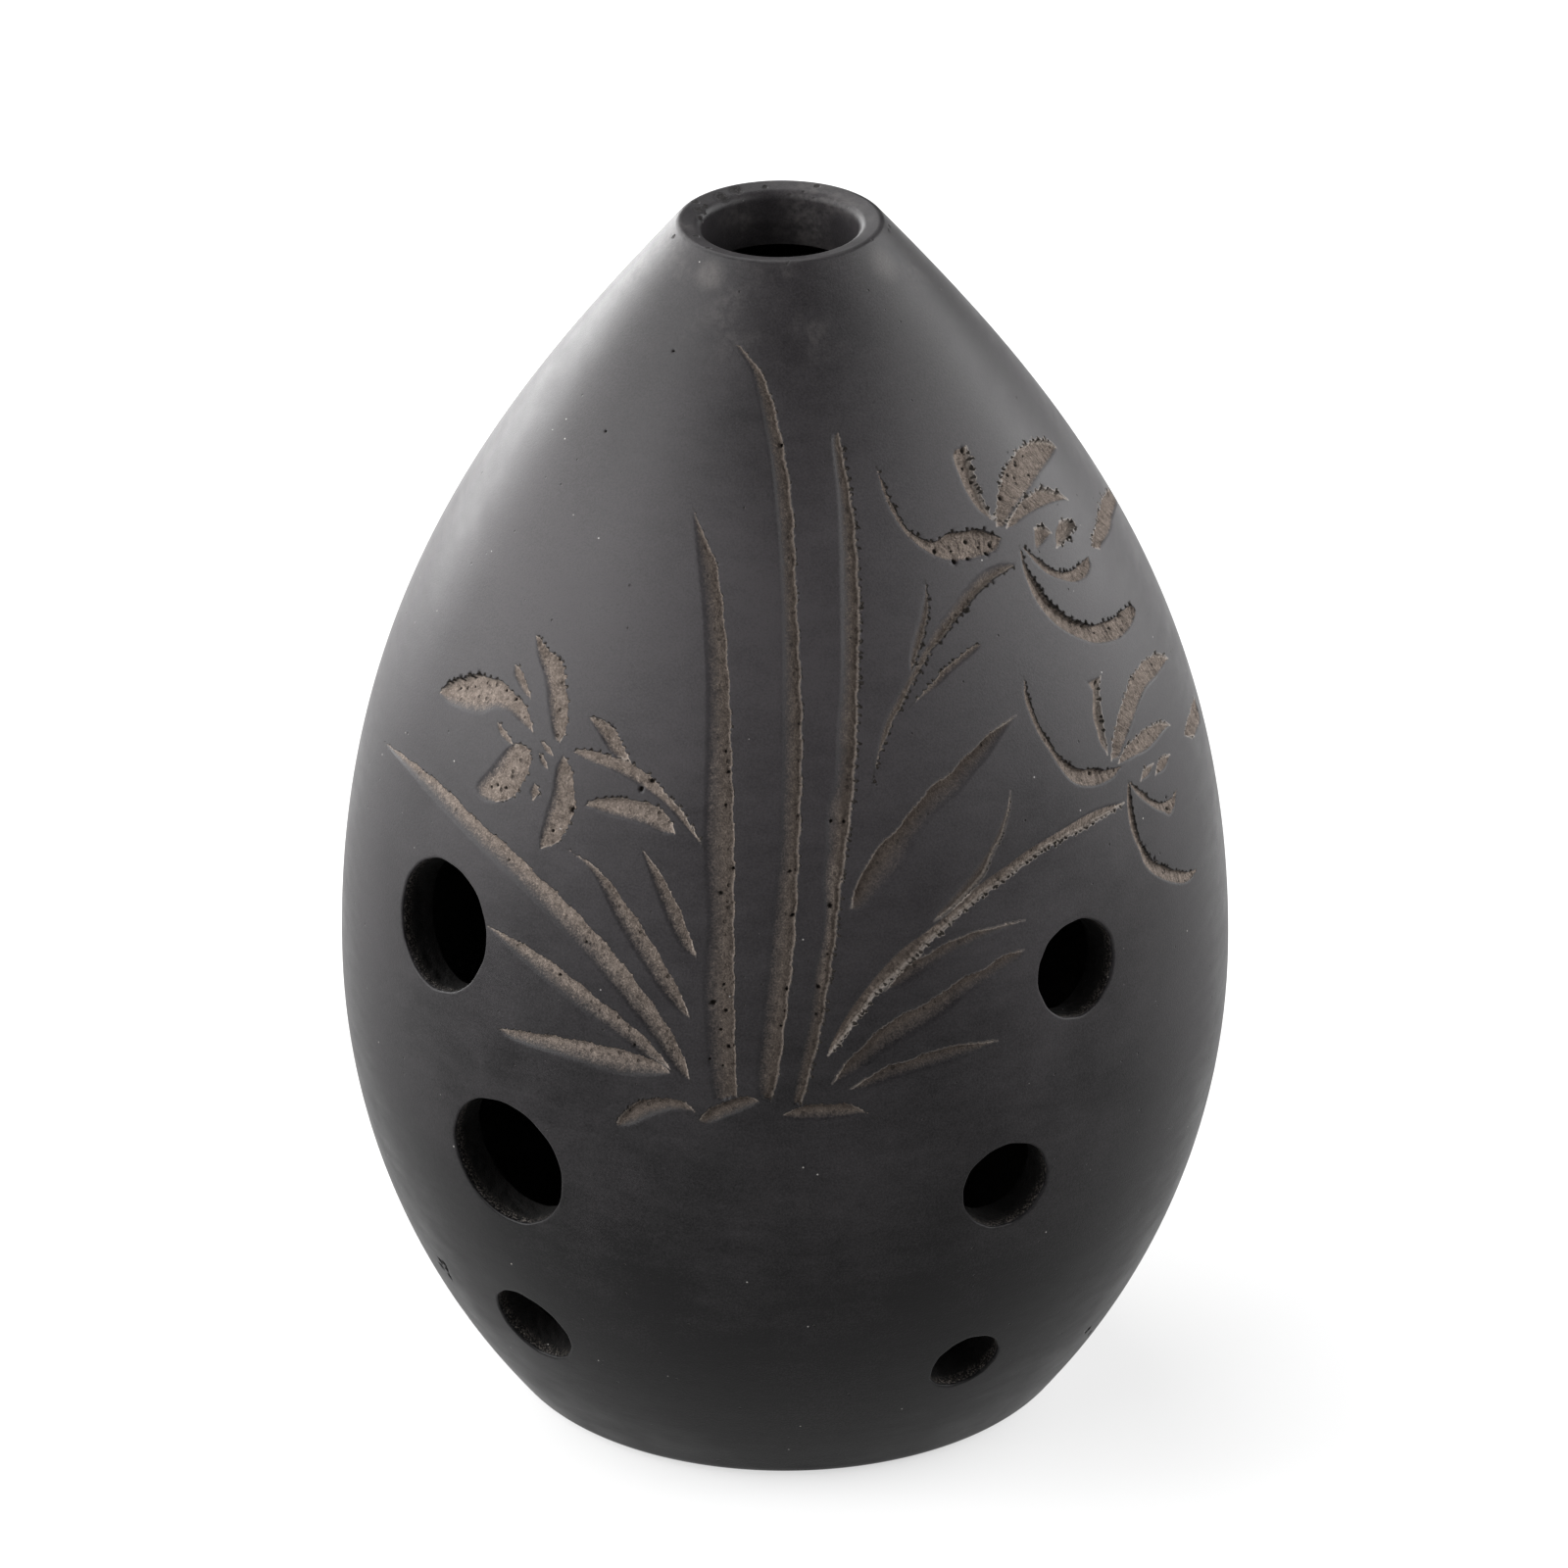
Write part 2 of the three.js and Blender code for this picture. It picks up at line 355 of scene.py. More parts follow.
# %% Upper flower on the right
high_cuts = {
    "right_stem": (
        "1038,575 1025,584 1009,595 996,609 982,625 969,642 956,658 943,676 933,695 921,718 906,749 "
            "893,784 889,807",
        "1038,575 1022,575 1005,581 992,592 979,607 966,625 953,642 943,660 930,684 913,715 899,747 "
            "889,807",
    ),
    "right_sheath": (
        "944,591 947,610 947,628 943,648 934,675 929,687",
        "944,591 943,609 939,628 931,655 928,675 929,687",
    ),
    "right_branch": (
        "1003,656 992,660 979,670 966,681 953,695 927,723",
        "1003,656 996,665 982,677 969,688 957,700 927,723",
    ),
    "high_petal_left": (
        "894,476 909,512 923,536 936,548 953,552 969,545 992,541 1006,542 1022,549",
        "894,476 901,503 913,529 928,549 944,562 962,571 976,573 992,571 1006,567 1017,561 1022,549",
    ),
    "high_petal_top": (
        "986,455 988,463 992,480 997,496 1004,513 1012,530",
        "986,455 974,459 972,467 979,486 987,504 999,521 1012,530",
    ),
    "high_petal_right": (
        "1017,537 1018,519 1020,500 1027,480 1037,463 1050,452 1062,449 1072,451 1078,457",
        "1017,537 1024,538 1029,529 1040,513 1052,499 1062,483 1072,468 1078,457",
    ),
    "high_petal_side": (
        "1027,539 1032,528 1042,514 1055,503 1068,499 1080,503 1090,510",
        "1027,539 1035,536 1048,526 1065,517 1080,511 1090,510",
    ),
    "high_centre_a": ("1055,539 1066,538 1073,544", "1055,539 1058,560 1073,544"),
    "high_centre_b": ("1081,532 1090,531 1097,535 1091,546 1078,559", "1081,532 1077,543 1078,559"),
    "high_petal_under": (
        "1041,556 1055,567 1072,579 1088,584 1101,577 1110,568",
        "1041,556 1050,567 1068,585 1088,593 1100,594 1110,587 1113,576 1110,568",
    ),
    "high_petal_low": (
        "1040,557 1047,577 1058,595 1072,614 1088,628 1108,637 1128,635 1144,625 1153,618 1158,620",
        "1040,557 1042,569 1045,585 1055,609 1068,628 1085,643 1105,653 1121,657 1141,653 1153,642 "
            "1159,628 1158,620",
    ),
    "high_petal_far": (
        "1132,499 1126,508 1123,518 1120,532 1116,547 1116,557 1122,560",
        "1132,499 1140,510 1136,526 1133,542 1122,560",
    ),
}
print("upper flower on the right:", len(high_cuts), "cuts")

# %% Lower flower on the right
low_cuts = {
    "low_stem": (
        "1147,819 1137,826 1125,834 1112,842 1095,851 1075,860 1055,874 1024,898 993,921 967,944 940,970 "
            "921,990 902,1005 883,1028 864,1054 845,1077",
        "1147,819 1135,821 1120,826 1105,833 1087,844 1070,854 1047,868 1024,885 1005,898 986,913 "
            "967,932 944,951 921,967 902,986 883,1009 864,1035 847,1066 845,1077",
    ),
    "low_petal_left": (
        "1045,690 1049,710 1057,732 1067,752 1080,770 1092,781 1105,785 1115,785 1127,786 1144,782",
        "1045,690 1045,710 1051,730 1060,750 1071,767 1084,787 1097,800 1112,803 1125,800 1137,793 "
            "1144,782",
    ),
    "low_petal_top": (
        "1123,690 1121,700 1122,715 1124,730 1126,745 1129,760 1130,770",
        "1123,690 1110,697 1115,705 1115,730 1119,745 1122,757 1130,770",
    ),
    "low_petal_right": (
        "1134,776 1136,760 1140,737 1145,720 1150,705 1157,689 1167,676 1177,669 1185,668 1192,672",
        "1134,776 1142,772 1147,760 1155,740 1162,720 1170,702 1179,692 1187,680 1192,672",
    ),
    "low_petal_side": (
        "1141,780 1147,767 1157,755 1170,744 1180,739 1187,737 1194,740",
        "1141,780 1150,776 1160,771 1170,766 1180,756 1187,746 1194,740",
    ),
    "low_centre_a": ("1164,797 1168,786 1177,779", "1164,797 1173,790 1177,779"),
    "low_centre_b": ("1179,791 1185,774 1194,770", "1179,791 1189,784 1194,770"),
    "low_petal_under": (
        "1151,796 1160,804 1169,810 1175,816 1182,819 1190,818 1196,814 1201,804",
        "1151,796 1157,807 1167,817 1180,826 1188,829 1194,832 1199,822 1201,804",
    ),
    "low_petal_low": (
        "1151,796 1154,810 1157,832 1162,852 1170,870 1180,880 1190,885 1205,889 1215,889 1222,886",
        "1151,796 1150,810 1151,830 1155,850 1163,869 1168,882 1177,892 1190,899 1205,902 1215,898 "
            "1222,886",
    ),
    "low_petal_far": ("1219,712 1210,743 1210,750 1219,751", "1219,712 1225,736 1219,751"),
}
print("lower flower on the right:", len(low_cuts), "cuts")

# %% Blades on the right
blade_cuts = {
    "blade_big": (
        "1037,730 1016,744 993,765 970,789 951,803 932,826 913,849 894,868 883,887 873,906 868,927",
        "1037,730 1024,749 1009,772 993,791 978,810 959,826 940,849 929,868 921,887 906,902 890,921 "
            "875,930 868,927",
    ),
    "blade_thin": (
        "1031,807 1030,826 1024,849 1012,875 1001,898 986,913 970,929 953,940",
        "1031,807 1026,826 1016,852 1002,876 985,898 968,918 956,932 953,940",
    ),
    "blade_upper": (
        "1046,939 1011,947 979,957 949,973 926,986 903,1011",
        "1046,939 1002,958 961,980 923,1004 903,1011",
    ),
    "blade_middle": (
        "1045,969 1024,976 1001,991 978,1001 959,1016 932,1031 906,1045 883,1066 864,1085 849,1106",
        "1045,969 1039,980 1009,1001 986,1016 963,1035 932,1056 902,1073 879,1092 849,1106",
    ),
    "blade_lower": (
        "1018,1062 986,1066 959,1071 932,1081 906,1089 883,1102 868,1111",
        "1018,1062 1001,1071 970,1083 940,1092 909,1102 883,1111 868,1111",
    ),
}
print("blades on the right:", len(blade_cuts), "cuts")

# %% Places where the clay broke out
small_pits = (
    "740,767 743,788 740,822 748,887 735,1052 724,1081 737,1089 738,1006 806,890 803,1011 797,1049 845,975 "
    "833,1036 862,839 798,453 466,702 473,702 481,700 493,696 513,704 523,713 577,690 505,801 513,804 "
    "526,807 499,803 562,848 625,742 517,878 597,962 569,996 647,1067 985,477 994,491 1000,558 972,562 "
    "1052,484 1038,486 1026,494 1048,463 1108,638 1120,645 1168,864 1178,876 1190,814 687,358 618,440"
)
middle_pits = (
    "735,912 740,1033 743,1070 809,935 847,925 835,1008 664,797 1012,556 988,552 1007,565 1040,473 "
    "1032,483 1024,507 1136,640 1116,789 1194,825 627,1033 568,672 988,570 955,562 480,689 470,692 489,687 "
    "848,838 581,827 654,805 1119,696"
)
large_pits = (
    "727,1024 983,459 974,573 1131,502 1146,626 450,1287 454,1290 456,1295 459,1302 451,1292 1110,1357 "
    "1112,1360"
)
print("broken out:", *(len(text.split()) for text in (small_pits, middle_pits, large_pits)))

# %% [markdown]
# Each outline is turned into a smooth line through its points, cast on to the body and divided evenly. Two
# questions are asked of such lines again and again: which places lie inside a closed one, and how far each
# place is from an open one.

# %% Lines on the clay
CUT_SPACING = 0.13 * MM


def read_points(text):
    return np.array([[float(v) for v in pair.split(",")] for pair in text.split()])


def smooth_line(points, steps=24):
    """A smooth line through the points (a Catmull-Rom spline)."""
    ends = [2 * points[:1] - points[1:2], points, 2 * points[-1:] - points[-2:-1]]
    p = np.vstack(ends)
    t = np.linspace(0, 1, steps, endpoint=False)[:, None]
    spans = [
        (2 * b + (c - a) * t + (2 * a - 5 * b + 4 * c - d) * t**2 + (3 * b - a - 3 * c + d) * t**3) / 2
        for a, b, c, d in zip(p, p[1:], p[2:], p[3:])
    ]
    return np.vstack([*spans, points[-1:]])


def scale_at(places):
    return np.interp(places[:, 1], outside.up, outside.radius)


def evenly(places, spacing):
    """The same line on the chart with its points evenly spaced on the clay."""
    steps = np.hypot(*np.diff(places, axis=0).T) * (scale_at(places[1:]) + scale_at(places[:-1])) / 2
    length = np.concatenate([[0], np.cumsum(steps)])
    count = max(int(round(length[-1] / spacing)), 2)
    at = np.linspace(0, length[-1], count + 1)
    return np.column_stack([np.interp(at, length, v) for v in places.T]), at


def moved_across(places, offsets):
    """A chart line moved to its left by offsets in metres on the clay."""
    along = np.gradient(places, axis=0)
    along /= np.maximum(np.hypot(*along.T), 1e-12)[:, None]
    left = np.stack([-along[:, 1], along[:, 0]], 1)
    return places + left * (offsets / scale_at(places))[:, None]


def inside_of(places, outline):
    """Which chart places lie inside a closed outline."""
    x, y = places[:, :1], places[:, 1:]
    x0, y0 = outline.T
    x1, y1 = np.roll(outline, -1, axis=0).T
    crosses = (y0 > y) != (y1 > y)
    reach = x0 + (y - y0) * (x1 - x0) / np.where(y1 == y0, 1, y1 - y0)
    return (crosses & (x < reach)).sum(axis=1) % 2 == 1


def distance_to(places, line):
    """Chart distance from each place to a line, and how many of its points come before."""
    a = line[:-1]
    span = line[1:] - a
    to = places[:, None] - a
    along = np.clip((to * span).sum(2) / np.maximum((span**2).sum(1), 1e-18), 0, 1)
    squared = ((to - along[..., None] * span) ** 2).sum(2)
    nearest = squared.argmin(1)
    each = np.arange(len(places))
    return np.sqrt(squared[each, nearest]), nearest + along[each, nearest]


trial = evenly(seen_at(smooth_line(read_points(stalk_cuts["short_stalk"][0]))), CUT_SPACING)
print("the short stalk is", round(trial[1][-1] / MM, 1), "mm long, in", len(trial[0]), "points")

# %% [markdown]
# The steep edge breaks out as it is cut: the hard skin chips away in small teeth, longest where the knife
# turned, and the line wanders a little. Both are drawn from a seeded generator, so that every run gives the
# same flute. The mesh will need points along each edge, just outside it and at the foot of the steep side.

# %% Cuts with broken edges
STEEP_RUN = 0.09 * MM
LIP = 0.07 * MM
TOOTH_GAP = 0.55 * MM
TOOTH_WIDTH = 0.22 * MM
WANDER = 0.012 * MM
WANDER_LENGTH = 0.5 * MM
WANDER_LIMIT = 0.05 * MM
chance = np.random.default_rng(7)


def teeth(at, height):
    """How far the skin has chipped away along an edge."""
    reach = np.zeros(len(at))
    place = at[0] + TOOTH_GAP
    while place < at[-1] - TOOTH_GAP:
        lean = chance.uniform(0.35, 1)
        tall = height * chance.uniform(0.2, 1)
        width = TOOTH_WIDTH * chance.uniform(0.6, 1.3)
        side = np.where(at < place, (place - at) / (width * lean), (at - place) / (width * (1.35 - lean)))
        reach = np.maximum(reach, tall * np.clip(1 - side, 0, 1))
        place += TOOTH_GAP * chance.uniform(0.45, 1.6)
    return reach


class Cut:
    """One slanting cut: its steep edge, gentle edge, and the steep edge as it chipped."""

    def __init__(self, steep, gentle, tooth_height):
        steep, at = evenly(seen_at(smooth_line(read_points(steep))), CUT_SPACING)
        self.gentle = evenly(seen_at(smooth_line(read_points(gentle))), CUT_SPACING)[0]
        self.steep = steep
        middle = steep[len(steep) // 2]
        nearest = self.gentle[np.hypot(*(self.gentle - middle).T).argmin()]
        along = steep[len(steep) // 2 + 1] - middle
        across = nearest - middle
        self.inward = 1 if along[0] * across[1] - along[1] * across[0] > 0 else -1
        wander = WANDER * np.sin(at / WANDER_LENGTH + chance.uniform(0, 6))
        wander = np.clip(wander * np.minimum(at, at[-1] - at) / MM, -WANDER_LIMIT, WANDER_LIMIT)
        self.edge = moved_across(steep, -self.inward * (teeth(at, tooth_height) + wander))
        self.outline = np.vstack([self.edge, self.gentle[::-1]])

    def rows(self):
        """Points along the edges, so that the mesh follows them."""
        lip = moved_across(self.edge, np.full(len(self.edge), -self.inward * LIP))
        foot = moved_across(self.edge, np.full(len(self.edge), self.inward * STEEP_RUN))
        foot = foot[inside_of(foot, self.outline)]
        return np.vstack([self.edge, self.gentle[::2]]), np.vstack([lip, foot])


print("room for", int(trial[1][-1] / TOOTH_GAP), "teeth along the short stalk")

# %% [markdown]
# The plants weren't all cut alike. The petals have long teeth, crisp edges and pale grain, the blades are
# shallow and dark with a highlight painted along one edge, and the leaves fade out over most of their
# width. Each cut takes its style from the first word of its name: the height of its teeth in mm, the share
# of its width that fades, how pale it is, and how bright the highlight painted along its steep edge is. Six
# petals have that edge in shadow, so they get shorter teeth and no painted highlight. On the right-hand
# flowers the knife chattered, and the mesh has to say how far along the cut each place is.

# %% Styles, and all the cuts
# tooth height in mm, share that fades, paleness, and brightness of the painted highlight on the steep edge
STYLES = {
    "high": (0.6, 0.15, 0.9, 1.0), "low": (0.42, 0.15, 0.9, 1.0), "left": (0.34, 0.4, 1.0, 0.6),
    "right": (0.4, 0.85, 0.48, 0.45), "leaf": (0.16, 0.8, 0.95, 0.6), "blade": (0.16, 0.95, 0.2, 0.9),
    "ground": (0.16, 0.6, 0.4, 0.5), "short": (0.16, 0.85, 0.48, 0.3), "tall": (0.16, 0.85, 0.48, 0.3),
}
SHADED_TEETH = 0.65
SHADED = (
    "high_petal_left", "high_petal_low", "high_petal_under",
    "low_petal_left", "low_petal_low", "low_petal_under",
)
CHATTERED = ("high", "low")
PIT_RADII = (0.14 * MM, 0.21 * MM, 0.3 * MM)
cuts, pits = {}, []
for group in (stalk_cuts, left_cuts, high_cuts, low_cuts, blade_cuts):
    for name, (steep, gentle) in group.items():
        family, shaded = name.split("_")[0], name in SHADED
        tooth, feather, pale, line = STYLES[family]
        cuts[name] = cut = Cut(steep, gentle, tooth * MM * (SHADED_TEETH if shaded else 1))
        cut.feather, cut.pale, cut.line = feather, pale, 0 if shaded else line
        cut.chattered = family in CHATTERED
for radius, text in zip(PIT_RADII, (small_pits, middle_pits, large_pits)):
    for place in seen_at(read_points(text)):
        pits.append((place, radius * chance.uniform(0.8, 1.2), chance.uniform(0, 2 * math.pi)))
furthest = max(cut.edge[:, 0].max() for cut in cuts.values())
print(len(cuts), "cuts; the furthest right reaches", round(furthest, 3))

# %% [markdown]
# ## Depth of the carving
#
# The cuts are not cut by booleans, which would leave slivers. The skin is meshed with points along every
# edge, and each vertex is then sunk by the depth of the cuts that it lies in. The depth is greatest just
# inside the steep edge and falls to nothing at the gentle one. A narrow cut is a shallow one.

# %% Depth at any place
MARKS = ("cut", "chip", "edge", "along", "pale", "line")
CUT_DEPTH = 0.55 * MM
DEPTH_SHARE = 0.42
SLOPE_POWER = 0.75
TOOTH_DEPTH_SHARE = 0.6
PIT_DEPTH = 0.3 * MM
EDGE_REACH = 0.42 * MM
EDGE_SLACK = 0.03 * MM
EDGE_BLEND = 0.04 * MM
FADE = 0.06 * MM
MARGIN = 0.012


def ragged(place, radius, turn, places):
    """How far inside a broken-out pit the chart places are: 1 at its middle, 0 at its ragged edge."""
    to = (places - place) * scale_at(places)[:, None]
    angle = np.arctan2(to[:, 1], to[:, 0]) + turn
    reach = radius * (1 + 0.22 * np.sin(2 * angle) + 0.16 * np.sin(5 * angle + turn))
    return np.clip(1 - np.hypot(*to.T) / reach, 0, 1)


def sink_cut(cut, places, depth, marks):
    """Sink and mark the chart places that one cut reaches."""
    low, high = cut.outline.min(0) - MARGIN, cut.outline.max(0) + MARGIN
    near = np.flatnonzero(((places >= low) & (places <= high)).all(1))
    if not len(near):
        return
    here = places[near]
    scale = scale_at(here)
    from_edge, way = distance_to(here, cut.edge)
    from_edge = from_edge * scale
    nearness = np.clip(1 - from_edge / EDGE_REACH, 0, 1)
    closest = near[nearness >= marks["edge"][near]]
    marks["pale"][closest], marks["line"][closest] = cut.pale, cut.line
    marks["edge"][near] = np.maximum(marks["edge"][near], nearness)
    within = inside_of(here, cut.outline) | (from_edge < EDGE_SLACK)
    near, here, scale, from_edge, way = (v[within] for v in (near, here, scale, from_edge, way))
    if not len(near):
        return
    from_steep = distance_to(here, cut.steep)[0] * scale
    from_gentle = distance_to(here, cut.gentle[::3])[0] * scale
    tooth = ~inside_of(here, np.vstack([cut.steep, cut.gentle[::-1]])) & (from_steep > LIP)
    width = from_steep + from_gentle
    full = np.minimum(CUT_DEPTH, DEPTH_SHARE * width)
    slope = (from_gentle / np.maximum(width, 1e-9)) ** SLOPE_POWER
    slope = np.where(tooth, TOOTH_DEPTH_SHARE, slope)
    wall = np.clip(from_edge / STEEP_RUN, 0, 1)
    depth[near] = np.maximum(depth[near], full * slope * wall)
    ramp = np.clip(from_gentle / (cut.feather * width + FADE), 0, 1)
    opened = np.where(tooth, 1, ramp) * np.clip(from_edge / EDGE_BLEND, 0, 1)
    marks["pale"][near] = cut.pale
    marks["cut"][near] = np.maximum(marks["cut"][near], opened)
    marks["chip"][near] = np.maximum(marks["chip"][near], tooth)
    if cut.chattered:
        marks["along"][near] = way * CUT_SPACING


def sink_pit(pit, radius, turn, places, depth, marks):
    """Sink and mark the chart places in one pit."""
    near = np.flatnonzero((np.abs(places - pit) < MARGIN * 2).all(1))
    deep = ragged(pit, radius, turn, places[near])
    depth[near] += PIT_DEPTH * (radius / PIT_RADII[1]) * np.clip(2 * deep, 0, 1)
    marks["chip"][near] = np.maximum(marks["chip"][near], np.clip(3 * deep, 0, 1))


def carved(places):
    """Depth at chart places, and marks for the material.

    cut is 1 where the skin is opened and chip where it broke out, edge is 1 at a steep edge and falls to 0
    away from it, along is the way along a petal in metres, pale is the style of the cut, and line is how
    bright the highlight painted along its steep edge is.
    """
    places = np.column_stack([(places[:, 0] + math.pi) % (2 * math.pi) - math.pi, places[:, 1]])
    depth = np.zeros(len(places))
    marks = {name: np.zeros(len(places)) for name in MARKS}
    for cut in cuts.values():
        sink_cut(cut, places, depth, marks)
    for pit in pits:
        sink_pit(*pit, places, depth, marks)
    return depth, marks


probe = carved(cuts["tall_stalk"].steep[200:201] - [[0.01, 0]])[0]
print("depth in the tall stalk, mm:", (probe / MM).round(2))

# %% [markdown]
# ## Fired clay
#
# The clay was burnished with a smooth tool while leather-hard and smoked black in the kiln, so its skin is
# dark and satin, and whatever the knife opened is dull, grainy and browner. One material does both: marks
# stored on the mesh say where the skin is cut, chipped or bare, and noise frays their borders. A small
# class lets the sums be written as plain Python; each sum adds its own node.


# %% Write shader sums as Python
class Wire:
    """One output of a material's node, which can be added, multiplied and so on."""

    def __init__(self, tree, socket=None):
        self.tree, self.socket = tree, socket

    def node(self, kind, sockets, output=0, **settings):
        """A new node: its settings first, then the values or links of its sockets."""
        made = self.tree.nodes.new("ShaderNode" + kind)
        for key, value in settings.items():
            setattr(made, key, value)
        for key, value in sockets.items():
            if isinstance(value, Wire):
                self.tree.links.new(value.socket, made.inputs[key])
            else:
                made.inputs[key].default_value = value
        return Wire(self.tree, made.outputs[output])

    def math(self, operation, *values, **settings):
        return self.node("Math", dict(enumerate(values)), operation=operation, **settings)

    def __add__(self, other):
        return self.math("ADD", self, other)

    def __radd__(self, other):
        return self.math("ADD", other, self)

    def __sub__(self, other):
        return self.math("SUBTRACT", self, other)

    def __rsub__(self, other):
        return self.math("SUBTRACT", other, self)

    def __mul__(self, other):
        return self.math("MULTIPLY", self, other)

    def __rmul__(self, other):
        return self.math("MULTIPLY", other, self)

    def larger(self, other):
        return self.math("MAXIMUM", self, other)

    def clamped(self):
        return self.math("ADD", self, 0.0, use_clamp=True)

    def above(self, low, high):
        """0 below low and 1 above high, sloping between them; the other way round if low is higher."""
        return ((self - low) * (1 / (high - low))).clamped()

    def colour(self, low, high):
        """A colour between low where this is 0 and high where it is 1."""
        return self.node("Mix", {0: self, 6: low, 7: high}, output=2, data_type="RGBA")

    def noise(self, size, detail=2.0, roughness=0.5, stretch=(1, 1, 1)):
        """Noise with features of a size in metres."""
        at = self.node("VectorMath", {0: self, 1: tuple(s / size for s in stretch)}, operation="MULTIPLY")
        return at.node("TexNoise", {"Vector": at, "Scale": 1.0, "Detail": detail, "Roughness": roughness})

    def near(self, point, size):
        """1 within a size of one point, falling to 0."""
        away = self.node("VectorMath", {0: self, 1: point}, output=1, operation="DISTANCE")
        return away.above(size, 0.4 * size)

    def spots(self, gap, radius, share):
        """1 in round spots of a radius, in a share of the cells that are a gap wide."""
        at = self.node("VectorMath", {0: self, "Scale": 1 / gap}, operation="SCALE")
        cells = at.node("TexVoronoi", {"Vector": at, "Scale": 1.0})
        colour = Wire(self.tree, cells.socket.node.outputs["Color"])
        pick = colour.node("SeparateColor", {0: colour})
        chosen = pick.math("LESS_THAN", pick, share)
        return cells.above(radius / gap, 0.55 * radius / gap) * chosen


def new_material(name):
    material = bpy.data.materials.new(name)
    material.use_nodes = True
    return material, Wire(material.node_tree)


print("shader sums ready")

# %% [markdown]
# The patterns come first: noise from single grains up to broad mottling, pits and dust as round spots, and
# the marks with their borders frayed by the grain. Each is a number from 0 to 1 at every place on the clay.
# The rubbed and chipped places near the mouth are the few that are given as points and sizes.

# %% Patterns in the clay
GRAIN = 0.17 * MM
COARSE_GRAIN = 0.55 * MM
MOTTLE = 11 * MM
STROKE = 1.3 * MM
CHATTER = 0.4 * MM
CUT_PITS = (0.8 * MM, 0.19 * MM, 0.4)
SKIN_PITS = (1.3 * MM, 0.13 * MM, 0.2)
DUST_GRAINS = (1.2 * MM, 0.09 * MM, 0.08)
RIM_CHIPS = (1.1 * MM, 0.32 * MM, 0.3)
TORN_HEIGHTS = (0.08, 0.07)
RUB_HEIGHTS = (0.0975, 0.101)
LAND_HEIGHTS = (0.1042, 0.1046)
RUBBED_PLACES = (
    ((-4.9 * MM, -8.1 * MM, 103.3 * MM), 1.7 * MM), ((8.6 * MM, -4.2 * MM, 102.8 * MM), 2.0 * MM),
)
CHIPPED_PLACES = (
    ((-5.3 * MM, 4.9 * MM, 104.7 * MM), 0.75 * MM), ((-4.2 * MM, 6.3 * MM, 104.8 * MM), 0.7 * MM),
    ((-6.9 * MM, 2.2 * MM, 104.8 * MM), 0.6 * MM), ((-6.6 * MM, 0.9 * MM, 104.6 * MM), 0.5 * MM),
    ((-7.3 * MM, 3.4 * MM, 104.9 * MM), 0.4 * MM),
)
clay, wire = new_material("burnished clay")
where = wire.node("TexCoord", {}, output=3)
height = where.node("SeparateXYZ", {0: where}, output=2)


def mark(attribute):
    return wire.node("Attribute", {}, output=2, attribute_name=attribute)


grain = where.noise(GRAIN, 2.0, 0.7)
coarse = where.noise(COARSE_GRAIN, 2.0)
mottle = where.noise(MOTTLE, 4.0, 0.6)
strokes = where.noise(STROKE, 3.0, 0.6, stretch=(0.3, 0.3, 1.0))
chatter = mark("along").noise(CHATTER, 1.0)

frayed = (grain - 0.5) * 0.8 + (coarse - 0.5) * 0.25
opened = (mark("cut") + frayed * mark("cut").above(0, 0.3)).above(0.12, 0.75)
chipped = mark("chip").above(0.2, 0.5)
bare = mark("bare").above(0.3, 0.9)
torn = mark("bare").above(0.03, 0.3) * mark("bare").above(1, 0.9) * grain.above(0.5, 0.62)
torn = torn * height.above(*TORN_HEIGHTS)
near_edge = mark("edge")
cut_pits = where.spots(*CUT_PITS) * opened
skin_pits = where.spots(*SKIN_PITS)
dust = where.spots(*DUST_GRAINS)
rubbed = mottle.above(0.5, 0.62) * coarse.above(0.35, 0.65) * height.above(*RUB_HEIGHTS) * 0.5
for point, size in RUBBED_PLACES:
    rubbed = rubbed + where.near(point, size) * (grain * 0.6 + 0.1)
rim_chips = where.spots(*RIM_CHIPS) * height.above(*LAND_HEIGHTS)
for point, size in CHIPPED_PLACES:
    rim_chips = rim_chips + where.near(point, size) * grain.above(0.35, 0.5)
rim_chips = rim_chips.clamped()
# painted glints: the brightest grains of the cut clay
painted_glints = grain.above(0.64, 0.72)
print("nodes for the patterns:", len(clay.node_tree.nodes))

# %% [markdown]
# The skin's colour has painted light and shade by height, paler up the shoulder and darker at the foot, on
# top of its mottled tone, and it is a little darker at the neck. The cuts run from dark to pale grains by
# the style of each cut, with painted glints, painted shade towards the foot and a painted highlight along
# the steep edge. Painted shade in the chips, pits, bores and inside, and real dust, are then laid over
# both, one after another.

# %% Colour
# the ends of the skin's colour: painted shade at the foot and painted light up the shoulder
SKIN_DARK = (0.0018, 0.0017, 0.0019, 1)
SKIN_PALE = (0.0255, 0.0235, 0.025, 1)
RUBBED_COLOUR = (0.07, 0.065, 0.062, 1)
CUT_DARK = (0.02, 0.0155, 0.013, 1)
CUT_PALE = (0.162, 0.134, 0.115, 1)
# painted highlight along steep edges, and the real paler clay torn at the rims of the bores
HIGHLIGHT_AND_TORN_COLOUR = (0.25, 0.22, 0.195, 1)
# painted shade in chips, pits and just outside steep edges
PAINTED_SHADE_COLOUR = (0.008, 0.007, 0.006, 1)
# painted shade on the bare clay inside the bores and the chamber
BARE_SHADE_COLOUR = (0.003, 0.0028, 0.0027, 1)
DUST_COLOUR = (0.25, 0.24, 0.23, 1)
# the skin is in painted shade below these heights and gets painted light above them
SKIN_LIGHT_HEIGHTS = (0.019, 0.085)
NECK_HEIGHTS = (0.08, 0.098)
# the cuts are in painted shade below these heights
CUT_SHADE_HEIGHTS = (0.028, 0.055)

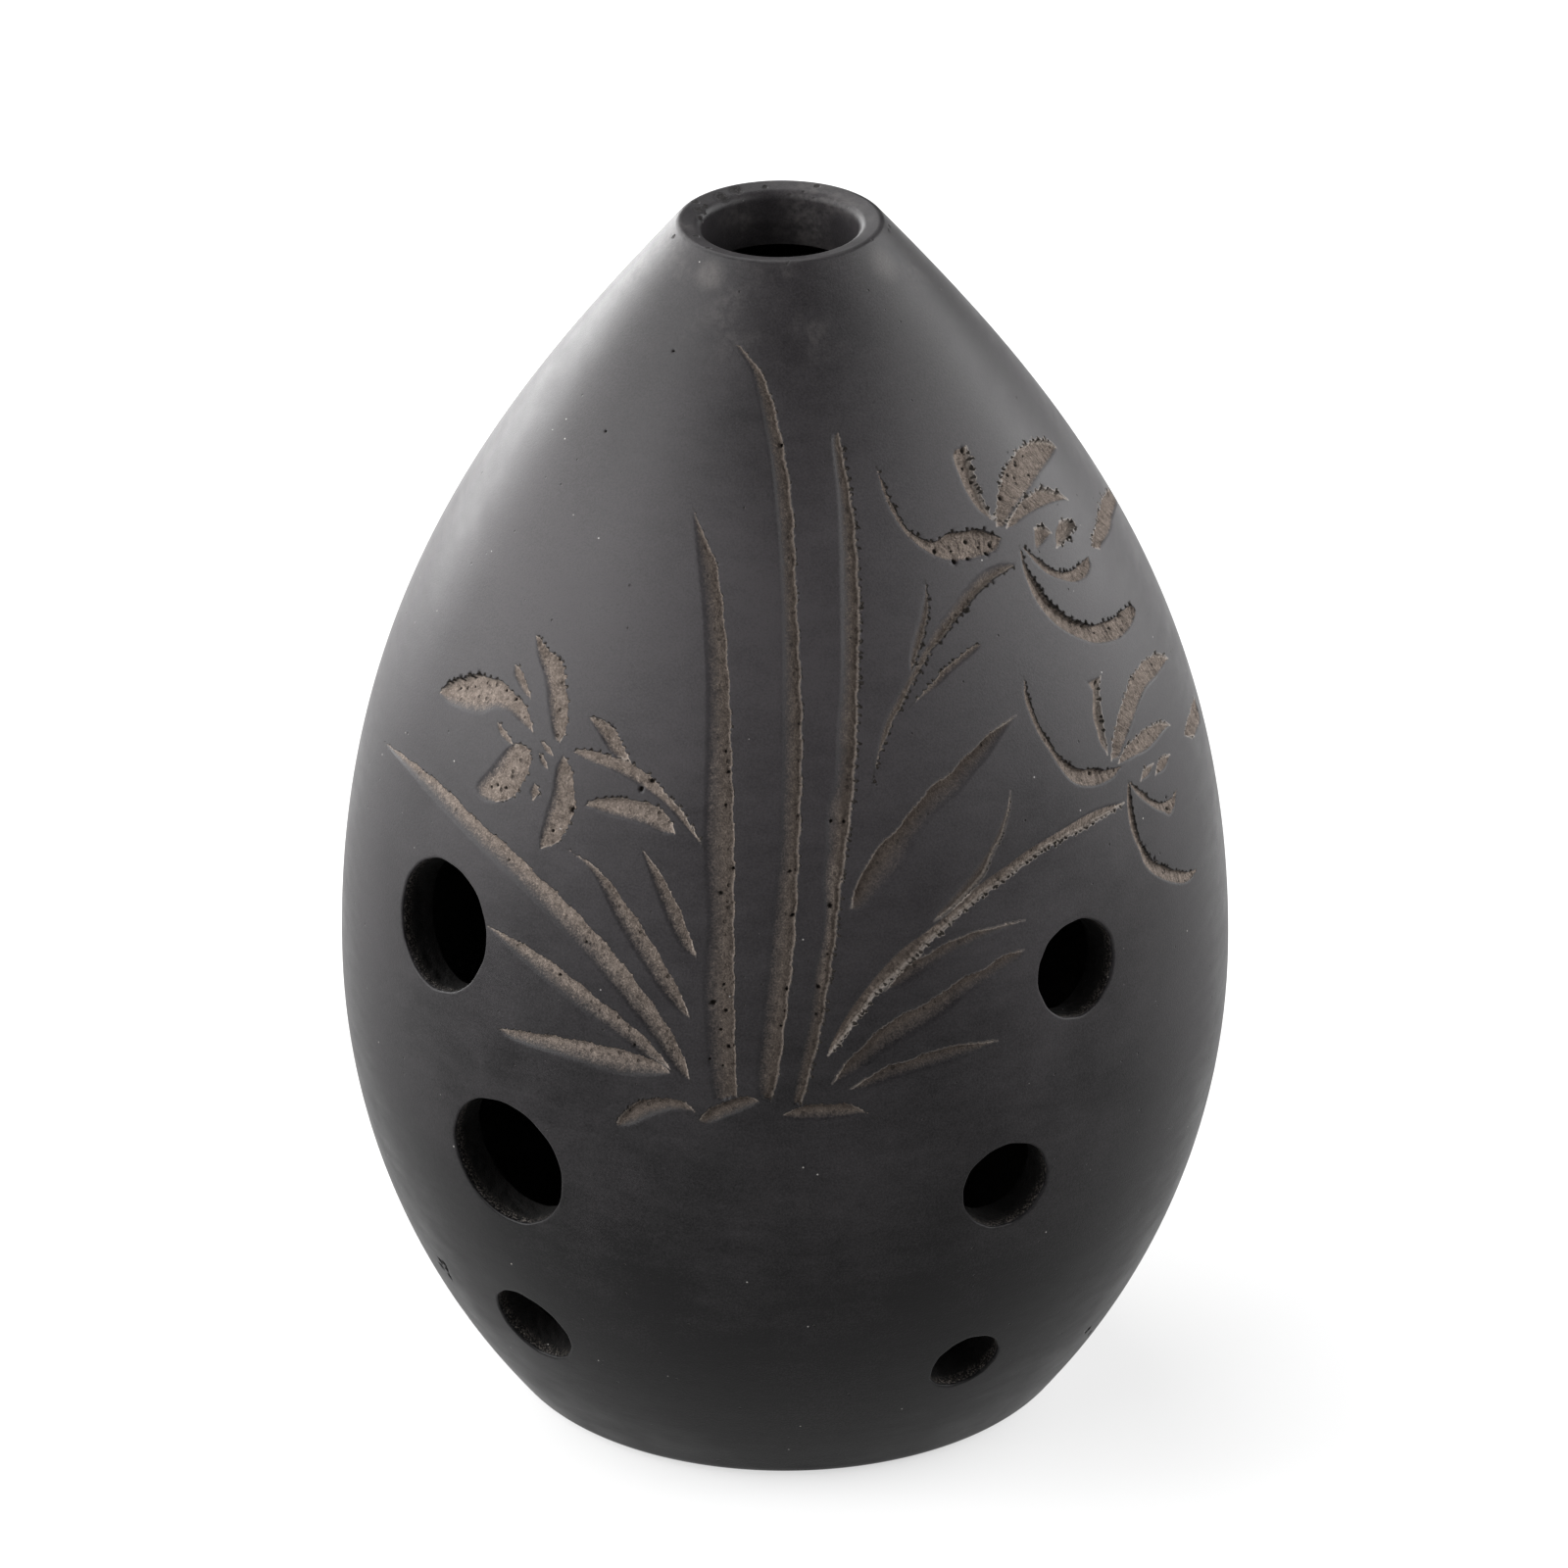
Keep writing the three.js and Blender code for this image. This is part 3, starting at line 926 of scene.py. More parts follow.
patchy = (mottle - 0.5) * 0.8 + (strokes - 0.5) * 0.35 + (grain - 0.5) * 0.9
# painted light and shade by height, on top of the mottled tone, and a little darker near the neck
tone_and_painted_light = height.above(*SKIN_LIGHT_HEIGHTS) - height.above(*NECK_HEIGHTS) * 0.5 + patchy
skin = tone_and_painted_light.clamped().colour(SKIN_DARK, SKIN_PALE)
skin = (rubbed * 0.7).clamped().colour(skin, RUBBED_COLOUR)
tone = grain * 0.7 + coarse * 0.6 + (chatter - 0.5) * 0.7 - 0.3 + painted_glints * 0.4
# paleness of each cut's style, with painted shade towards the foot
pale = (mark("pale") * 0.9 + 0.1) * (height.above(*CUT_SHADE_HEIGHTS) * 0.28 + 0.72)
opening = (tone.above(0.05, 0.7) * pale).colour(CUT_DARK, CUT_PALE)
# painted highlight along the steep edge, inside the cut
line = near_edge.above(0.5, 0.85) * (grain * 0.8 + 0.25) * mark("line")
opening = line.clamped().colour(opening, HIGHLIGHT_AND_TORN_COLOUR)
# painted shade in the pits of the cuts
opening = (cut_pits * 0.55).colour(opening, PAINTED_SHADE_COLOUR)
# painted shade just outside the steep edge, lighter where a highlight is painted
unopened = near_edge.above(0.72, 0.95) * (1 - opened)
shade = unopened * coarse.above(0.35, 0.55) * (1 - mark("line") * 0.85)
# painted highlight on the skin just outside the steep edge
lit = near_edge.above(0.68, 0.86) * (1 - opened) * mark("line").above(0.85, 1) * (grain * 0.7 + 0.05)
skin = lit.clamped().colour(skin, HIGHLIGHT_AND_TORN_COLOUR)
colour = opened.colour(skin, opening)
# painted shade in the chipped teeth, just outside the edges and in the chips of the rim
colour = (chipped * 0.85 + shade + rim_chips * 0.6).clamped().colour(colour, PAINTED_SHADE_COLOUR)
# painted shade on the bare clay of the bores and the inside
colour = bare.colour(colour, BARE_SHADE_COLOUR)
colour = (torn * 0.27).colour(colour, HIGHLIGHT_AND_TORN_COLOUR)
# painted shade in the pits of the skin
colour = (skin_pits * 0.7).colour(colour, PAINTED_SHADE_COLOUR)
colour = (dust * 0.8).colour(colour, DUST_COLOUR)
print("nodes with the colours:", len(clay.node_tree.nodes))

# %% [markdown]
# Roughness and relief follow the same patterns: burnished skin is satin and almost flat, and everything
# dull is rough too. The relief is only a bump finer than the mesh; the cuts themselves are in the mesh.

# %% Roughness and relief
SKIN_ROUGHNESS = 0.42
DULL_ROUGHNESS = 0.92
SPECULAR = 0.1
DULL_RELIEF = ((grain, 0.1 * MM), (coarse, 0.12 * MM), (chatter, 0.1 * MM))
SKIN_RELIEF = ((strokes, 0.015 * MM), (grain, 0.014 * MM))
TORN_RISE = 0.08 * MM
CUT_PIT_DEPTH = 0.12 * MM
SKIN_PIT_DEPTH = 0.05 * MM
RIM_CHIP_DEPTH = 0.15 * MM


def rise(layers):
    """The sum of some patterns, each with a height of its own and level on average."""
    first, *others = [(pattern - 0.5) * tall for pattern, tall in layers]
    for other in others:
        first = first + other
    return first


dull = opened.larger(chipped).larger(bare.larger(rim_chips))
satin = (mottle - 0.5) * 0.3 + (strokes - 0.5) * 0.15 + SKIN_ROUGHNESS
rough = satin + dull * (DULL_ROUGHNESS - SKIN_ROUGHNESS)
relief = dull * rise(DULL_RELIEF) + torn * TORN_RISE - cut_pits * CUT_PIT_DEPTH
relief = relief - skin_pits * SKIN_PIT_DEPTH - rim_chips * RIM_CHIP_DEPTH
relief = relief + (1 - dull) * rise(SKIN_RELIEF)
bump = wire.node("Bump", {"Height": relief, "Distance": 1.0, "Strength": 1.0})
shader = clay.node_tree.nodes["Principled BSDF"]
for socket, value in (("Base Color", colour), ("Roughness", rough.clamped()), ("Normal", bump)):
    clay.node_tree.links.new(value.socket, shader.inputs[socket])
shader.inputs["Specular IOR Level"].default_value = SPECULAR
print("nodes in the clay:", len(clay.node_tree.nodes))

# %% [markdown]
# ## Building closed pieces
#
# Each piece is put together from sheets of triangles: its outside, its inside and the faces between them.
# Modifiers could thicken a single sheet, but the inside needs far fewer triangles than the carved outside.
# So a small class gathers the sheets, welds the points that they share, and stores for every corner the
# direction in which the clay really faces. That keeps the joints between pieces invisible, as they are.

# %% Sheets and solids
WELD = 1e-8


def triangle_normals(points, faces):
    a, b, c = (points[faces[:, i]] for i in range(3))
    return np.cross(b - a, c - a)


def smooth_normals(points, faces):
    flat = triangle_normals(points, faces)
    total = np.stack([
        sum(np.bincount(faces[:, i], flat[:, axis], len(points)) for i in range(3)) for axis in range(3)
    ], 1)
    return total / np.maximum(np.linalg.norm(total, axis=1), 1e-30)[:, None]


def strip(first, second):
    """Two triangles between each neighbouring pair of two rows of point numbers."""
    a, b, c, d = first[:-1], first[1:], second[:-1], second[1:]
    return np.vstack([np.stack([a, b, c], 1), np.stack([b, d, c], 1)])


def closed(row):
    return np.append(row, row[0])


class Solid:
    """Sheets of triangles that together close one piece."""

    def __init__(self):
        self.points, self.faces, self.normals = [], [], []
        self.marks = {name: [] for name in (*MARKS, "bare")}
        self.count = 0

    def add(self, points, faces, normals=None, facing=None, **marks):
        """A sheet, smooth if its points have normals, and otherwise flat and turned to face one way."""
        flat = triangle_normals(points, faces)
        if facing is not None and (flat @ np.array(facing)).sum() < 0:
            faces, flat = faces[:, ::-1], -flat
        if normals is None:
            flat /= np.maximum(np.linalg.norm(flat, axis=1), 1e-30)[:, None]
            corner = np.repeat(flat[:, None], 3, axis=1)
        else:
            corner = normals[faces]
        self.points.append(points)
        self.faces.append(faces + self.count)
        self.normals.append(corner)
        for name, values in self.marks.items():
            values.append(np.broadcast_to(marks.get(name, 0.0), len(points)))
        self.count += len(points)

    def make(self, name, node):
        """The finished Blender object, welded, which rides on the body and replaces its plain node."""
        points, faces, corner = np.vstack(self.points), np.vstack(self.faces), np.vstack(self.normals)
        marks = {key: np.concatenate(values) for key, values in self.marks.items()}
        keys = np.round(points / WELD).astype(np.int64)
        first, number = np.unique(keys, axis=0, return_index=True, return_inverse=True)[1:]
        number = number.ravel()
        faces = number[faces]
        whole = (faces[:, 0] != faces[:, 1]) & (faces[:, 1] != faces[:, 2]) & (faces[:, 2] != faces[:, 0])
        faces, corner = faces[whole], corner[whole]
        used, faces = np.unique(faces, return_inverse=True)
        faces = faces.reshape(-1, 3)
        kept = first[used]
        mesh = bpy.data.meshes.new(name)
        mesh.from_pydata(points[kept], [], faces)
        mesh.shade_smooth()
        mesh.normals_split_custom_set(corner.reshape(-1, 3))
        for key, values in marks.items():
            if values.any():
                stored = mesh.attributes.new(key, "FLOAT", "POINT")
                stored.data.foreach_set("value", values[kept].astype("f"))
        mesh.materials.append(clay)
        piece = bpy.data.objects.new(name, mesh)
        bpy.context.scene.collection.objects.link(piece)
        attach(piece, "root")
        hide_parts(node)
        sides = np.vstack([faces[:, [0, 1]], faces[:, [1, 2]], faces[:, [2, 0]]])
        ways = set(map(tuple, sides.tolist()))
        open_sides = sum((b, a) not in ways for a, b in ways)
        volume = (points[kept][faces[:, 0]] * triangle_normals(points[kept], faces)).sum() / 6
        print(f"{name}: {len(faces)} triangles, {open_sides} open sides, {volume / MM**3:.0f} cubic mm")


print("two rows of three points:", len(strip(np.arange(3), np.arange(3) + 3)), "triangles between them")

# %% [markdown]
# ## Holes
#
# The finger holes were drilled square to the clay where they stand, so each is a cylinder along the normal
# there. Its rim on the curved skin is not a circle: every point of it is found by sliding along the bore
# until it meets the skin. The rim is worn round, and the wet clay tore a little, so the bore is not smooth.

# %% Finger holes and thumb holes
RIM_ROUND = 0.2 * MM
RIM_STEPS = 4
BORE_STEPS = 9
BORE_GRAIN = 0.035 * MM
# clay is burnished on the rim, torn just inside it and wholly bare from the second ring of the bore
TORN_STEPS = (RIM_STEPS - 1, RIM_STEPS, RIM_STEPS + 2)
TORN_MARKS = (0, 0.9, 1)
RING_SPACING = 0.26 * MM
BELOW_SKIN = -9 * MM
ABOVE_SKIN = 2 * MM
SLIDE_STEPS = 40
WAVES = ((2, 0.05), (3, 0.04), (7, 0.025), (13, 0.02))
# height of the middle, bore, and turn from the front in degrees
FRONT_HOLES = {
    "left_top": (51.8 * MM, 11.2 * MM, -45.8),
    "left_middle": (32.8 * MM, 11.5 * MM, -33.5),
    "left_low": (15 * MM, 7.6 * MM, -35.7),
    "right_top": (49.9 * MM, 8.3 * MM, 46.2),
    "right_middle": (32.1 * MM, 8 * MM, 34.7),
    "right_low": (13.2 * MM, 6.2 * MM, 33.2),
}
THUMB_HOLES = {"thumb_right": (46 * MM, 9.5 * MM, 150), "thumb_left": (46 * MM, 9.5 * MM, 210)}


class Hole:
    """A bore through the wall, as rings of points from its rim to the chamber."""

    def __init__(self, height, bore, turn_degrees):
        turn, up = math.radians(turn_degrees), outside.up_at(height)
        self.centre = on_skin(outside, turn, np.array([up]))[0]
        self.axis = skin_normal(outside, turn, np.array([up]))[0]
        self.right = np.array([math.cos(turn), math.sin(turn), 0])
        self.upward = np.cross(self.axis, self.right)
        self.radius = bore / 2
        count = int(2 * math.pi * self.radius / RING_SPACING)
        self.around = np.linspace(0, 2 * math.pi, count, endpoint=False)
        phases = chance.uniform(0, 2 * math.pi, len(WAVES))
        waves = [tall * np.sin(n * self.around + phase) for (n, tall), phase in zip(WAVES, phases)]
        self.uneven = sum(waves) * MM
        self.rings = self.make_rings()

    def meet(self, side, radius):
        """The ring at a distance from the bore's axis where it meets one side of the wall."""
        ring = self.centre + radius[:, None] * (
            np.cos(self.around)[:, None] * self.right + np.sin(self.around)[:, None] * self.upward)

        def within(slide):
            at = ring + slide[:, None] * self.axis
            return np.hypot(at[:, 0], at[:, 1]) <= side.radius_at(at[:, 2])

        low, high = np.full(len(ring), BELOW_SKIN), np.full(len(ring), ABOVE_SKIN)
        slide = halved(low, high, within, SLIDE_STEPS)[1]
        return ring + slide[:, None] * self.axis

    def make_rings(self):
        radius = self.radius + self.uneven
        rings = []
        for bend in np.linspace(0, math.pi / 2, RIM_STEPS + 1):
            wide = radius + RIM_ROUND * (1 - math.sin(bend))
            rings.append(self.meet(outside, wide) - RIM_ROUND * (1 - math.cos(bend)) * self.axis)
        last = self.meet(inside, radius)
        for share in np.linspace(0, 1, BORE_STEPS + 1)[1:-1]:
            rough = chance.normal(0, BORE_GRAIN, len(radius))
            rough = (rough + np.roll(rough, 1) + np.roll(rough, -1)) * math.sin(math.pi * share)
            out = (last - self.centre) - ((last - self.centre) @ self.axis)[:, None] * self.axis
            out /= np.linalg.norm(out, axis=1)[:, None]
            rings.append(rings[RIM_STEPS] * (1 - share) + last * share + rough[:, None] * out)
        return [*rings, last]


front_holes = {name: Hole(*sizes) for name, sizes in FRONT_HOLES.items()}
thumb_holes = {name: Hole(*sizes) for name, sizes in THUMB_HOLES.items()}
print("rim points:", {name: len(hole.around) for name, hole in front_holes.items()})

# %% [markdown]
# ## Spreading points over the skin
#
# Triangles need to be fine along the knife cuts and can be coarse on plain clay. Triangular lattices nest:
# every second point of one is a lattice twice as wide. So one fine lattice is laid over the chart, and each
# place keeps only the points of the widest lattice that is fine enough there.

# %% Graded points
FINE = 0.2 * MM
PLAIN = 0.9 * MM
GROWTH = 0.4
WIDEST_STEP = 64
ROW_RISE = math.sqrt(0.75)


def near_distances(places, features):
    tree = KDTree(len(features))
    for number, (turn, up) in enumerate(features):
        tree.insert((turn, up, 0), number)
    tree.balance()
    return np.array([tree.find((turn, up, 0))[2] for turn, up in places])


def graded_points(side, facing, ups, fine, plain, features):
    """Chart points whose spacing grows from fine at the features to plain."""
    step = fine / side.radius.max()
    rows = int((ups[1] - ups[0]) / (step * ROW_RISE))
    k, j = np.meshgrid(np.arange(int(math.pi / step) + 1), np.arange(rows))
    k, j = k.ravel(), j.ravel()
    either = (k - j // 2) | j
    reach = np.where(either == 0, WIDEST_STEP, np.minimum(either & -either, WIDEST_STEP))
    places = np.column_stack([
        facing - math.pi / 2 + (k + (j % 2) / 2) * step, ups[0] + j * ROW_RISE * step])
    scale = np.interp(places[:, 1], side.up, side.radius)
    distance = near_distances(places, features) * scale
    wanted = np.clip(fine + GROWTH * (distance - fine), fine, plain)
    share = 2 ** np.round(np.log2(np.maximum(wanted / (step * scale), 1)))
    return places[(reach >= share) & (distance > 0.5 * wanted)]


spread = graded_points(outside, 0, (0, 0.4), FINE, PLAIN, np.zeros((1, 2)))
print("a first patch takes", len(spread), "points")

# %% [markdown]
# ## Walls
#
# The flute is built from two half shells luted together with slip, closed by a base disc below and a ring
# around the mouth above. A half shell is one closed piece: a carved outside, a plain inside, the bores that
# join them, and four narrow faces where it meets its neighbours. The rows of points along the joints are
# worked out once, so that neighbours share them.

# %% Rows along the joints
SEAM_SPACING = 0.9 * MM
SEAM_FINE = 5
out_ups = outside.up_at(WALL_LOW), outside.up_at(WALL_HIGH)
in_ups = inside.up_at(WALL_LOW), inside.up_at(WALL_HIGH)


def seam_turn(side, ups):
    """How far from the front the half shell ends, at places up the outline."""
    return math.pi / 2 - np.arcsin(SEAM_HALF / np.interp(ups, side.up, side.radius))


def seam_rows():
    outside_length = np.interp(out_ups, outside.up, outside.length)
    count = int((outside_length[1] - outside_length[0]) / SEAM_SPACING) * SEAM_FINE
    lengths = np.linspace(*outside_length, count + 1)
    ups = np.interp(lengths, outside.length, outside.up)
    turns = seam_turn(outside, ups)
    crossed = sum(carved(np.column_stack([way * turns, ups]))[0] > 0 for way in (-1, 1)) > 0
    close = np.convolve(crossed, np.ones(2 * SEAM_FINE + 1), "same") > 0
    kept = close | (np.arange(count + 1) % SEAM_FINE == 0)
    return ups[kept], crossed.any()


seam_ups, seam_crossed = seam_rows()
seam_shares = (seam_ups - out_ups[0]) / (out_ups[1] - out_ups[0])
seam_in_ups = in_ups[0] + seam_shares * (in_ups[1] - in_ups[0])
print(len(seam_ups), "rows along each seam; a cut crosses it:", bool(seam_crossed))

# %% [markdown]
# Each side of the wall is divided into triangles on the chart. The border and the rims of the bores are
# edges that the triangles have to keep. Points too near to them are left out first, and so are the
# triangles that come out beyond the border or across a bore.

# %% Mesh one side of a half shell
ACROSS_TOP = 121
ACROSS_LOW = 141
BORDER_ROOM = 0.3
LOOP_ROOM = 0.4
SAME_PLACE = 1e-7


def border_of(side, facing, ups, row_ups):
    """The closed border of a half shell on the chart, and where each of its four sides starts."""
    low = facing + np.linspace(-1, 1, ACROSS_LOW) * seam_turn(side, ups[0])
    top = facing + np.linspace(1, -1, ACROSS_TOP) * seam_turn(side, ups[1])
    turn = seam_turn(side, row_ups)
    sides = [
        np.column_stack([low, np.full(len(low), ups[0])])[:-1],
        np.column_stack([facing + turn, row_ups])[:-1],
        np.column_stack([top, np.full(len(top), ups[1])])[:-1],
        np.column_stack([facing - turn, row_ups])[::-1][:-1],
    ]
    starts = np.cumsum([0] + [len(s) for s in sides])
    return np.vstack(sides), starts


def within_shell(places, side, facing, ups, row_ups, loops, room=0):
    """Which places lie inside the border of a half shell and outside its holes, with room to spare."""
    turn, up = places.T
    margin = BORDER_ROOM * room / np.interp(up, side.up, side.radius)
    good = np.abs(turn - facing) < np.interp(up, row_ups, seam_turn(side, row_ups)) - margin
    good &= (up > ups[0] + margin) & (up < ups[1] - margin)
    for loop in loops:
        near = np.flatnonzero((np.abs(places - loop.mean(0)) < np.ptp(loop, axis=0)).all(1) & good)
        away = distance_to(places[near], np.vstack([loop, loop[:1]]))[0] * side.radius.max()
        good[near[inside_of(places[near], loop) | (away < LOOP_ROOM * room)]] = False
    return good


def meshed(side, facing, ups, row_ups, loops, rows, fine, plain):
    """Triangles over one side of a half shell, with its border and hole loops as edges."""
    border, starts = border_of(side, facing, ups, row_ups)
    fixed = [border, *loops]
    edges, count = [], 0
    for loop in fixed:
        numbers = np.arange(len(loop)) + count
        edges += np.column_stack([numbers, np.roll(numbers, -1)]).tolist()
        count += len(loop)
    spread = graded_points(side, facing, ups, fine, plain, np.vstack([*fixed, *rows]))
    places = np.vstack([*rows, spread])
    kept = within_shell(places, side, facing, ups, row_ups, loops, fine)
    places = np.vstack([*fixed, places[kept]])
    made = delaunay_2d_cdt([Vector(p) for p in places], edges, [], 0, SAME_PLACE, True)
    number_of = {old: new for new, olds in enumerate(made[3]) for old in olds}
    at = np.array([tuple(v) for v in made[0]])
    faces = np.array(made[2])
    good = within_shell(at[faces].mean(1), side, facing, ups, row_ups, loops)
    for first, last in zip(starts[:-1], starts[1:]):
        on_side = np.zeros(len(at), bool)
        on_side[[number_of[n % starts[-1]] for n in range(first, last + 1)]] = True
        good &= ~on_side[faces].all(1)
    loop_numbers, count = [], 0
    for loop in fixed:
        loop_numbers.append(np.array([number_of[count + n] for n in range(len(loop))]))
        count += len(loop)
    at[np.concatenate(loop_numbers)] = np.vstack(fixed)
    return at, faces[good], loop_numbers, starts


def chart_of(side, points):
    return np.column_stack([np.arctan2(points[:, 0], -points[:, 1]), side.up_at(points[:, 2])])


def facing_chart(places, facing):
    """The same places, with their turns counted near the way the shell faces."""
    turn = (places[:, 0] - facing + math.pi) % (2 * math.pi) - math.pi + facing
    return np.column_stack([turn, places[:, 1]])


print("border of the front:", len(border_of(outside, 0, out_ups, seam_ups)[0]), "points")

# %% [markdown]
# The outside is then sunk where it is carved, the rings of each bore run down from its rim to the inside,
# and four flat strips close the shell along its borders.

# %% Build a half shell
INNER_FINE = 0.5 * MM
INNER_PLAIN = 2.4 * MM


def drilled(points, faces, holes, loops):
    """The outside with the rings of its bores, and how bare the clay is at each point."""
    bare = np.zeros(len(points))
    for hole, loop in zip(holes, loops):
        points[loop] = hole.rings[0]
        above = loop
        for step, ring in enumerate(hole.rings[1:]):
            below = len(points) + np.arange(len(ring))
            points = np.vstack([points, ring])
            faces = np.vstack([faces, strip(closed(above), closed(below))])
            bare = np.append(bare, np.full(len(ring), np.interp(step, TORN_STEPS, TORN_MARKS)))
            above = below
    return points, faces, bare


def half_shell(name, node, facing, holes, cut_rows):
    """One half of the wall: outside with bores, inside, and the four faces where it meets the rest."""
    solid = Solid()
    holes = list(holes.values())
    loops = [facing_chart(chart_of(outside, hole.rings[0]), facing) for hole in holes]
    places, faces, numbers, starts = meshed(
        outside, facing, out_ups, seam_ups, loops, cut_rows, FINE, PLAIN)
    depth, marks = carved(places)
    points = on_skin(outside, places[:, 0], places[:, 1], depth)
    points, faces, bare = drilled(points, faces, holes, numbers[1:])
    border = numbers[0]
    extra = np.zeros(len(points) - len(places))
    normals = smooth_normals(points, faces)
    plain = border[depth[border] == 0]
    normals[plain] = skin_normal(outside, *places[plain].T)
    marks = {key: np.append(values, extra) for key, values in marks.items()}
    solid.add(points, faces, normals, bare=bare, **marks)

    in_loops = [facing_chart(chart_of(inside, hole.rings[-1]), facing) for hole in holes]
    in_places, in_faces, in_numbers, in_starts = meshed(
        inside, facing, in_ups, seam_in_ups, in_loops, [], INNER_FINE, INNER_PLAIN)
    in_points = on_skin(inside, in_places[:, 0], in_places[:, 1])
    for hole, loop in zip(holes, in_numbers[1:]):
        in_points[loop] = hole.rings[-1]
    solid.add(in_points, in_faces[:, ::-1], -smooth_normals(in_points, in_faces), bare=1.0)

    in_border = in_numbers[0]
    facings = [(0, 0, -1), (0, math.copysign(1, math.cos(facing)), 0), (0, 0, 1)]
    facings.append(facings[1])
    for number, way in enumerate(facings):
        run = np.arange(starts[number], starts[number + 1] + 1) % len(border)
        in_run = np.arange(in_starts[number], in_starts[number + 1] + 1) % len(in_border)
        both = np.vstack([points[border[run]], in_points[in_border[in_run]]])
        solid.add(both, strip(np.arange(len(run)), np.arange(len(run)) + len(run)), facing=way, bare=1.0)
    solid.make(name, node)


print("chart turn of a half shell, from front to seam:", seam_turn(outside, seam_ups[:1]).round(3))

# %% Rows of points along the cuts and round the pits
PIT_SPOKES = 9
all_rows = [row for cut in cuts.values() for row in cut.rows()]
spokes = np.linspace(0, 2 * math.pi, PIT_SPOKES, endpoint=False)
wheel = np.column_stack([np.cos(spokes), np.sin(spokes)])
for place, radius, turn in pits:
    reach = radius / scale_at(place[None])
    all_rows.append(np.vstack([place[None], place + 0.5 * reach * wheel, place + 1.1 * reach * wheel]))
print("points along the cuts:", sum(map(len, all_rows)))

# %% Half shells
half_shell("front_wall", "front_shell", 0, front_holes, all_rows)
beyond = [facing_chart(row, math.pi) for row in all_rows]
half_shell("back_wall", "back_shell", math.pi, thumb_holes, beyond)

# %% [markdown]
# ## Seams
#
# Where the half shells meet, a thin line of slip joins them. It was scraped and burnished over with the
# rest, so it must follow the same outline and the same cuts. Each seam is a narrow strip with the same
# rows of points as the shells beside it.

# %% Seams
SEAM_COLUMNS = 5


def seam(name, node, way):
    """The slip between the half shells on one side: way is 1 on the right and -1 on the left."""
    solid = Solid()
    offsets = np.linspace(-SEAM_HALF, SEAM_HALF, SEAM_COLUMNS)
    grids = []
    for side, ups in ((outside, seam_ups), (inside, seam_in_ups)):
        up = np.repeat(ups, SEAM_COLUMNS)
        lean = np.arcsin(np.tile(offsets, len(ups)) / np.interp(up, side.up, side.radius))
        places = np.column_stack([way * (math.pi / 2 + lean), up])
        depth, marks = carved(places) if side is outside else (np.zeros(len(places)), {})
        points = on_skin(side, places[:, 0], places[:, 1], depth)
        number = np.arange(len(places)).reshape(-1, SEAM_COLUMNS)
        faces = np.vstack([strip(number[:, c], number[:, c + 1]) for c in range(SEAM_COLUMNS - 1)])
        turned_out = 1 if side is outside else -1
        normals = smooth_normals(points, faces)
        if (normals * skin_normal(side, *places.T)).sum() < 0:
            faces, normals = faces[:, ::-1], -normals
        plain = depth == 0
        normals[plain] = skin_normal(side, *places[plain].T)
        solid.add(points, faces[:, ::turned_out], turned_out * normals, bare=float(side is inside), **marks)
        grids.append(points.reshape(-1, SEAM_COLUMNS, 3))
    out, within = grids
    for first, second, facing in (
        (out[0], within[0], (0, 0, -1)), (out[-1], within[-1], (0, 0, 1)),
        (out[:, 0], within[:, 0], (0, -1, 0)), (out[:, -1], within[:, -1], (0, 1, 0)),
    ):
        count = len(first)
        solid.add(np.vstack([first, second]), strip(np.arange(count), np.arange(count) + count),
                  facing=facing, bare=1.0)
    solid.make(name, node)


seam("right_seam", "right_seam_slip", 1)
seam("left_seam", "left_seam_slip", -1)

# %% [markdown]
# ## Base, mouth ring and their joints
#
# These four are turned shapes. A Screw modifier would turn an outline, but it gives no say over the shading
# where pieces meet, so the outlines are turned here in the same way as the rest. The mouth is the part that
# the player's lip rests on: a ring whose top slopes inwards and whose edges are worn soft.

# %% Turn an outline into a piece
TURN_STEPS = 240
SLIP_STEPS = 5
WORN_OUTSIDE = 0.6 * MM
WORN_INSIDE = 0.8 * MM
BORE_SKIN = 2.2 * MM
BORE_ROWS = 5


def turned(name, node, lines, bare):
    """A closed piece from lines of (radius, height) that run around its section, outside first."""
    solid = Solid()
    turns = np.linspace(0, 2 * math.pi, TURN_STEPS, endpoint=False)
    for number, line in enumerate(lines):
        line = np.array(line, float)
        along = np.gradient(line, axis=0)
        normal = np.stack([along[:, 1], -along[:, 0]], 1)
        normal /= np.hypot(*normal.T)[:, None]
        turn = np.tile(turns, len(line))
        radius, height = np.repeat(line, TURN_STEPS, axis=0).T
        out, up = np.repeat(normal, TURN_STEPS, axis=0).T
        points = np.stack([radius * np.sin(turn), -radius * np.cos(turn), height], 1)
        normals = np.stack([out * np.sin(turn), -out * np.cos(turn), up], 1)
        grid = np.arange(len(points)).reshape(len(line), TURN_STEPS)
        faces = np.vstack([strip(closed(grid[r]), closed(grid[r + 1])) for r in range(len(line) - 1)])
        solid.add(points, faces, normals, bare=float(bare[number]))
    solid.make(name, node)


def outside_line(low, high, steps):
    ups = np.linspace(outside.up_at(low), outside.up_at(high), steps)
    return np.stack(outside.at(ups)[:2], 1)


def inside_line(high, low, steps):
    ups = np.linspace(inside.up_at(high), inside.up_at(low), steps)
    return np.stack(inside.at(ups)[:2], 1)


def flat_line(start, end, height, steps=4):
    return np.column_stack([np.linspace(start, end, steps), np.full(steps, height)])


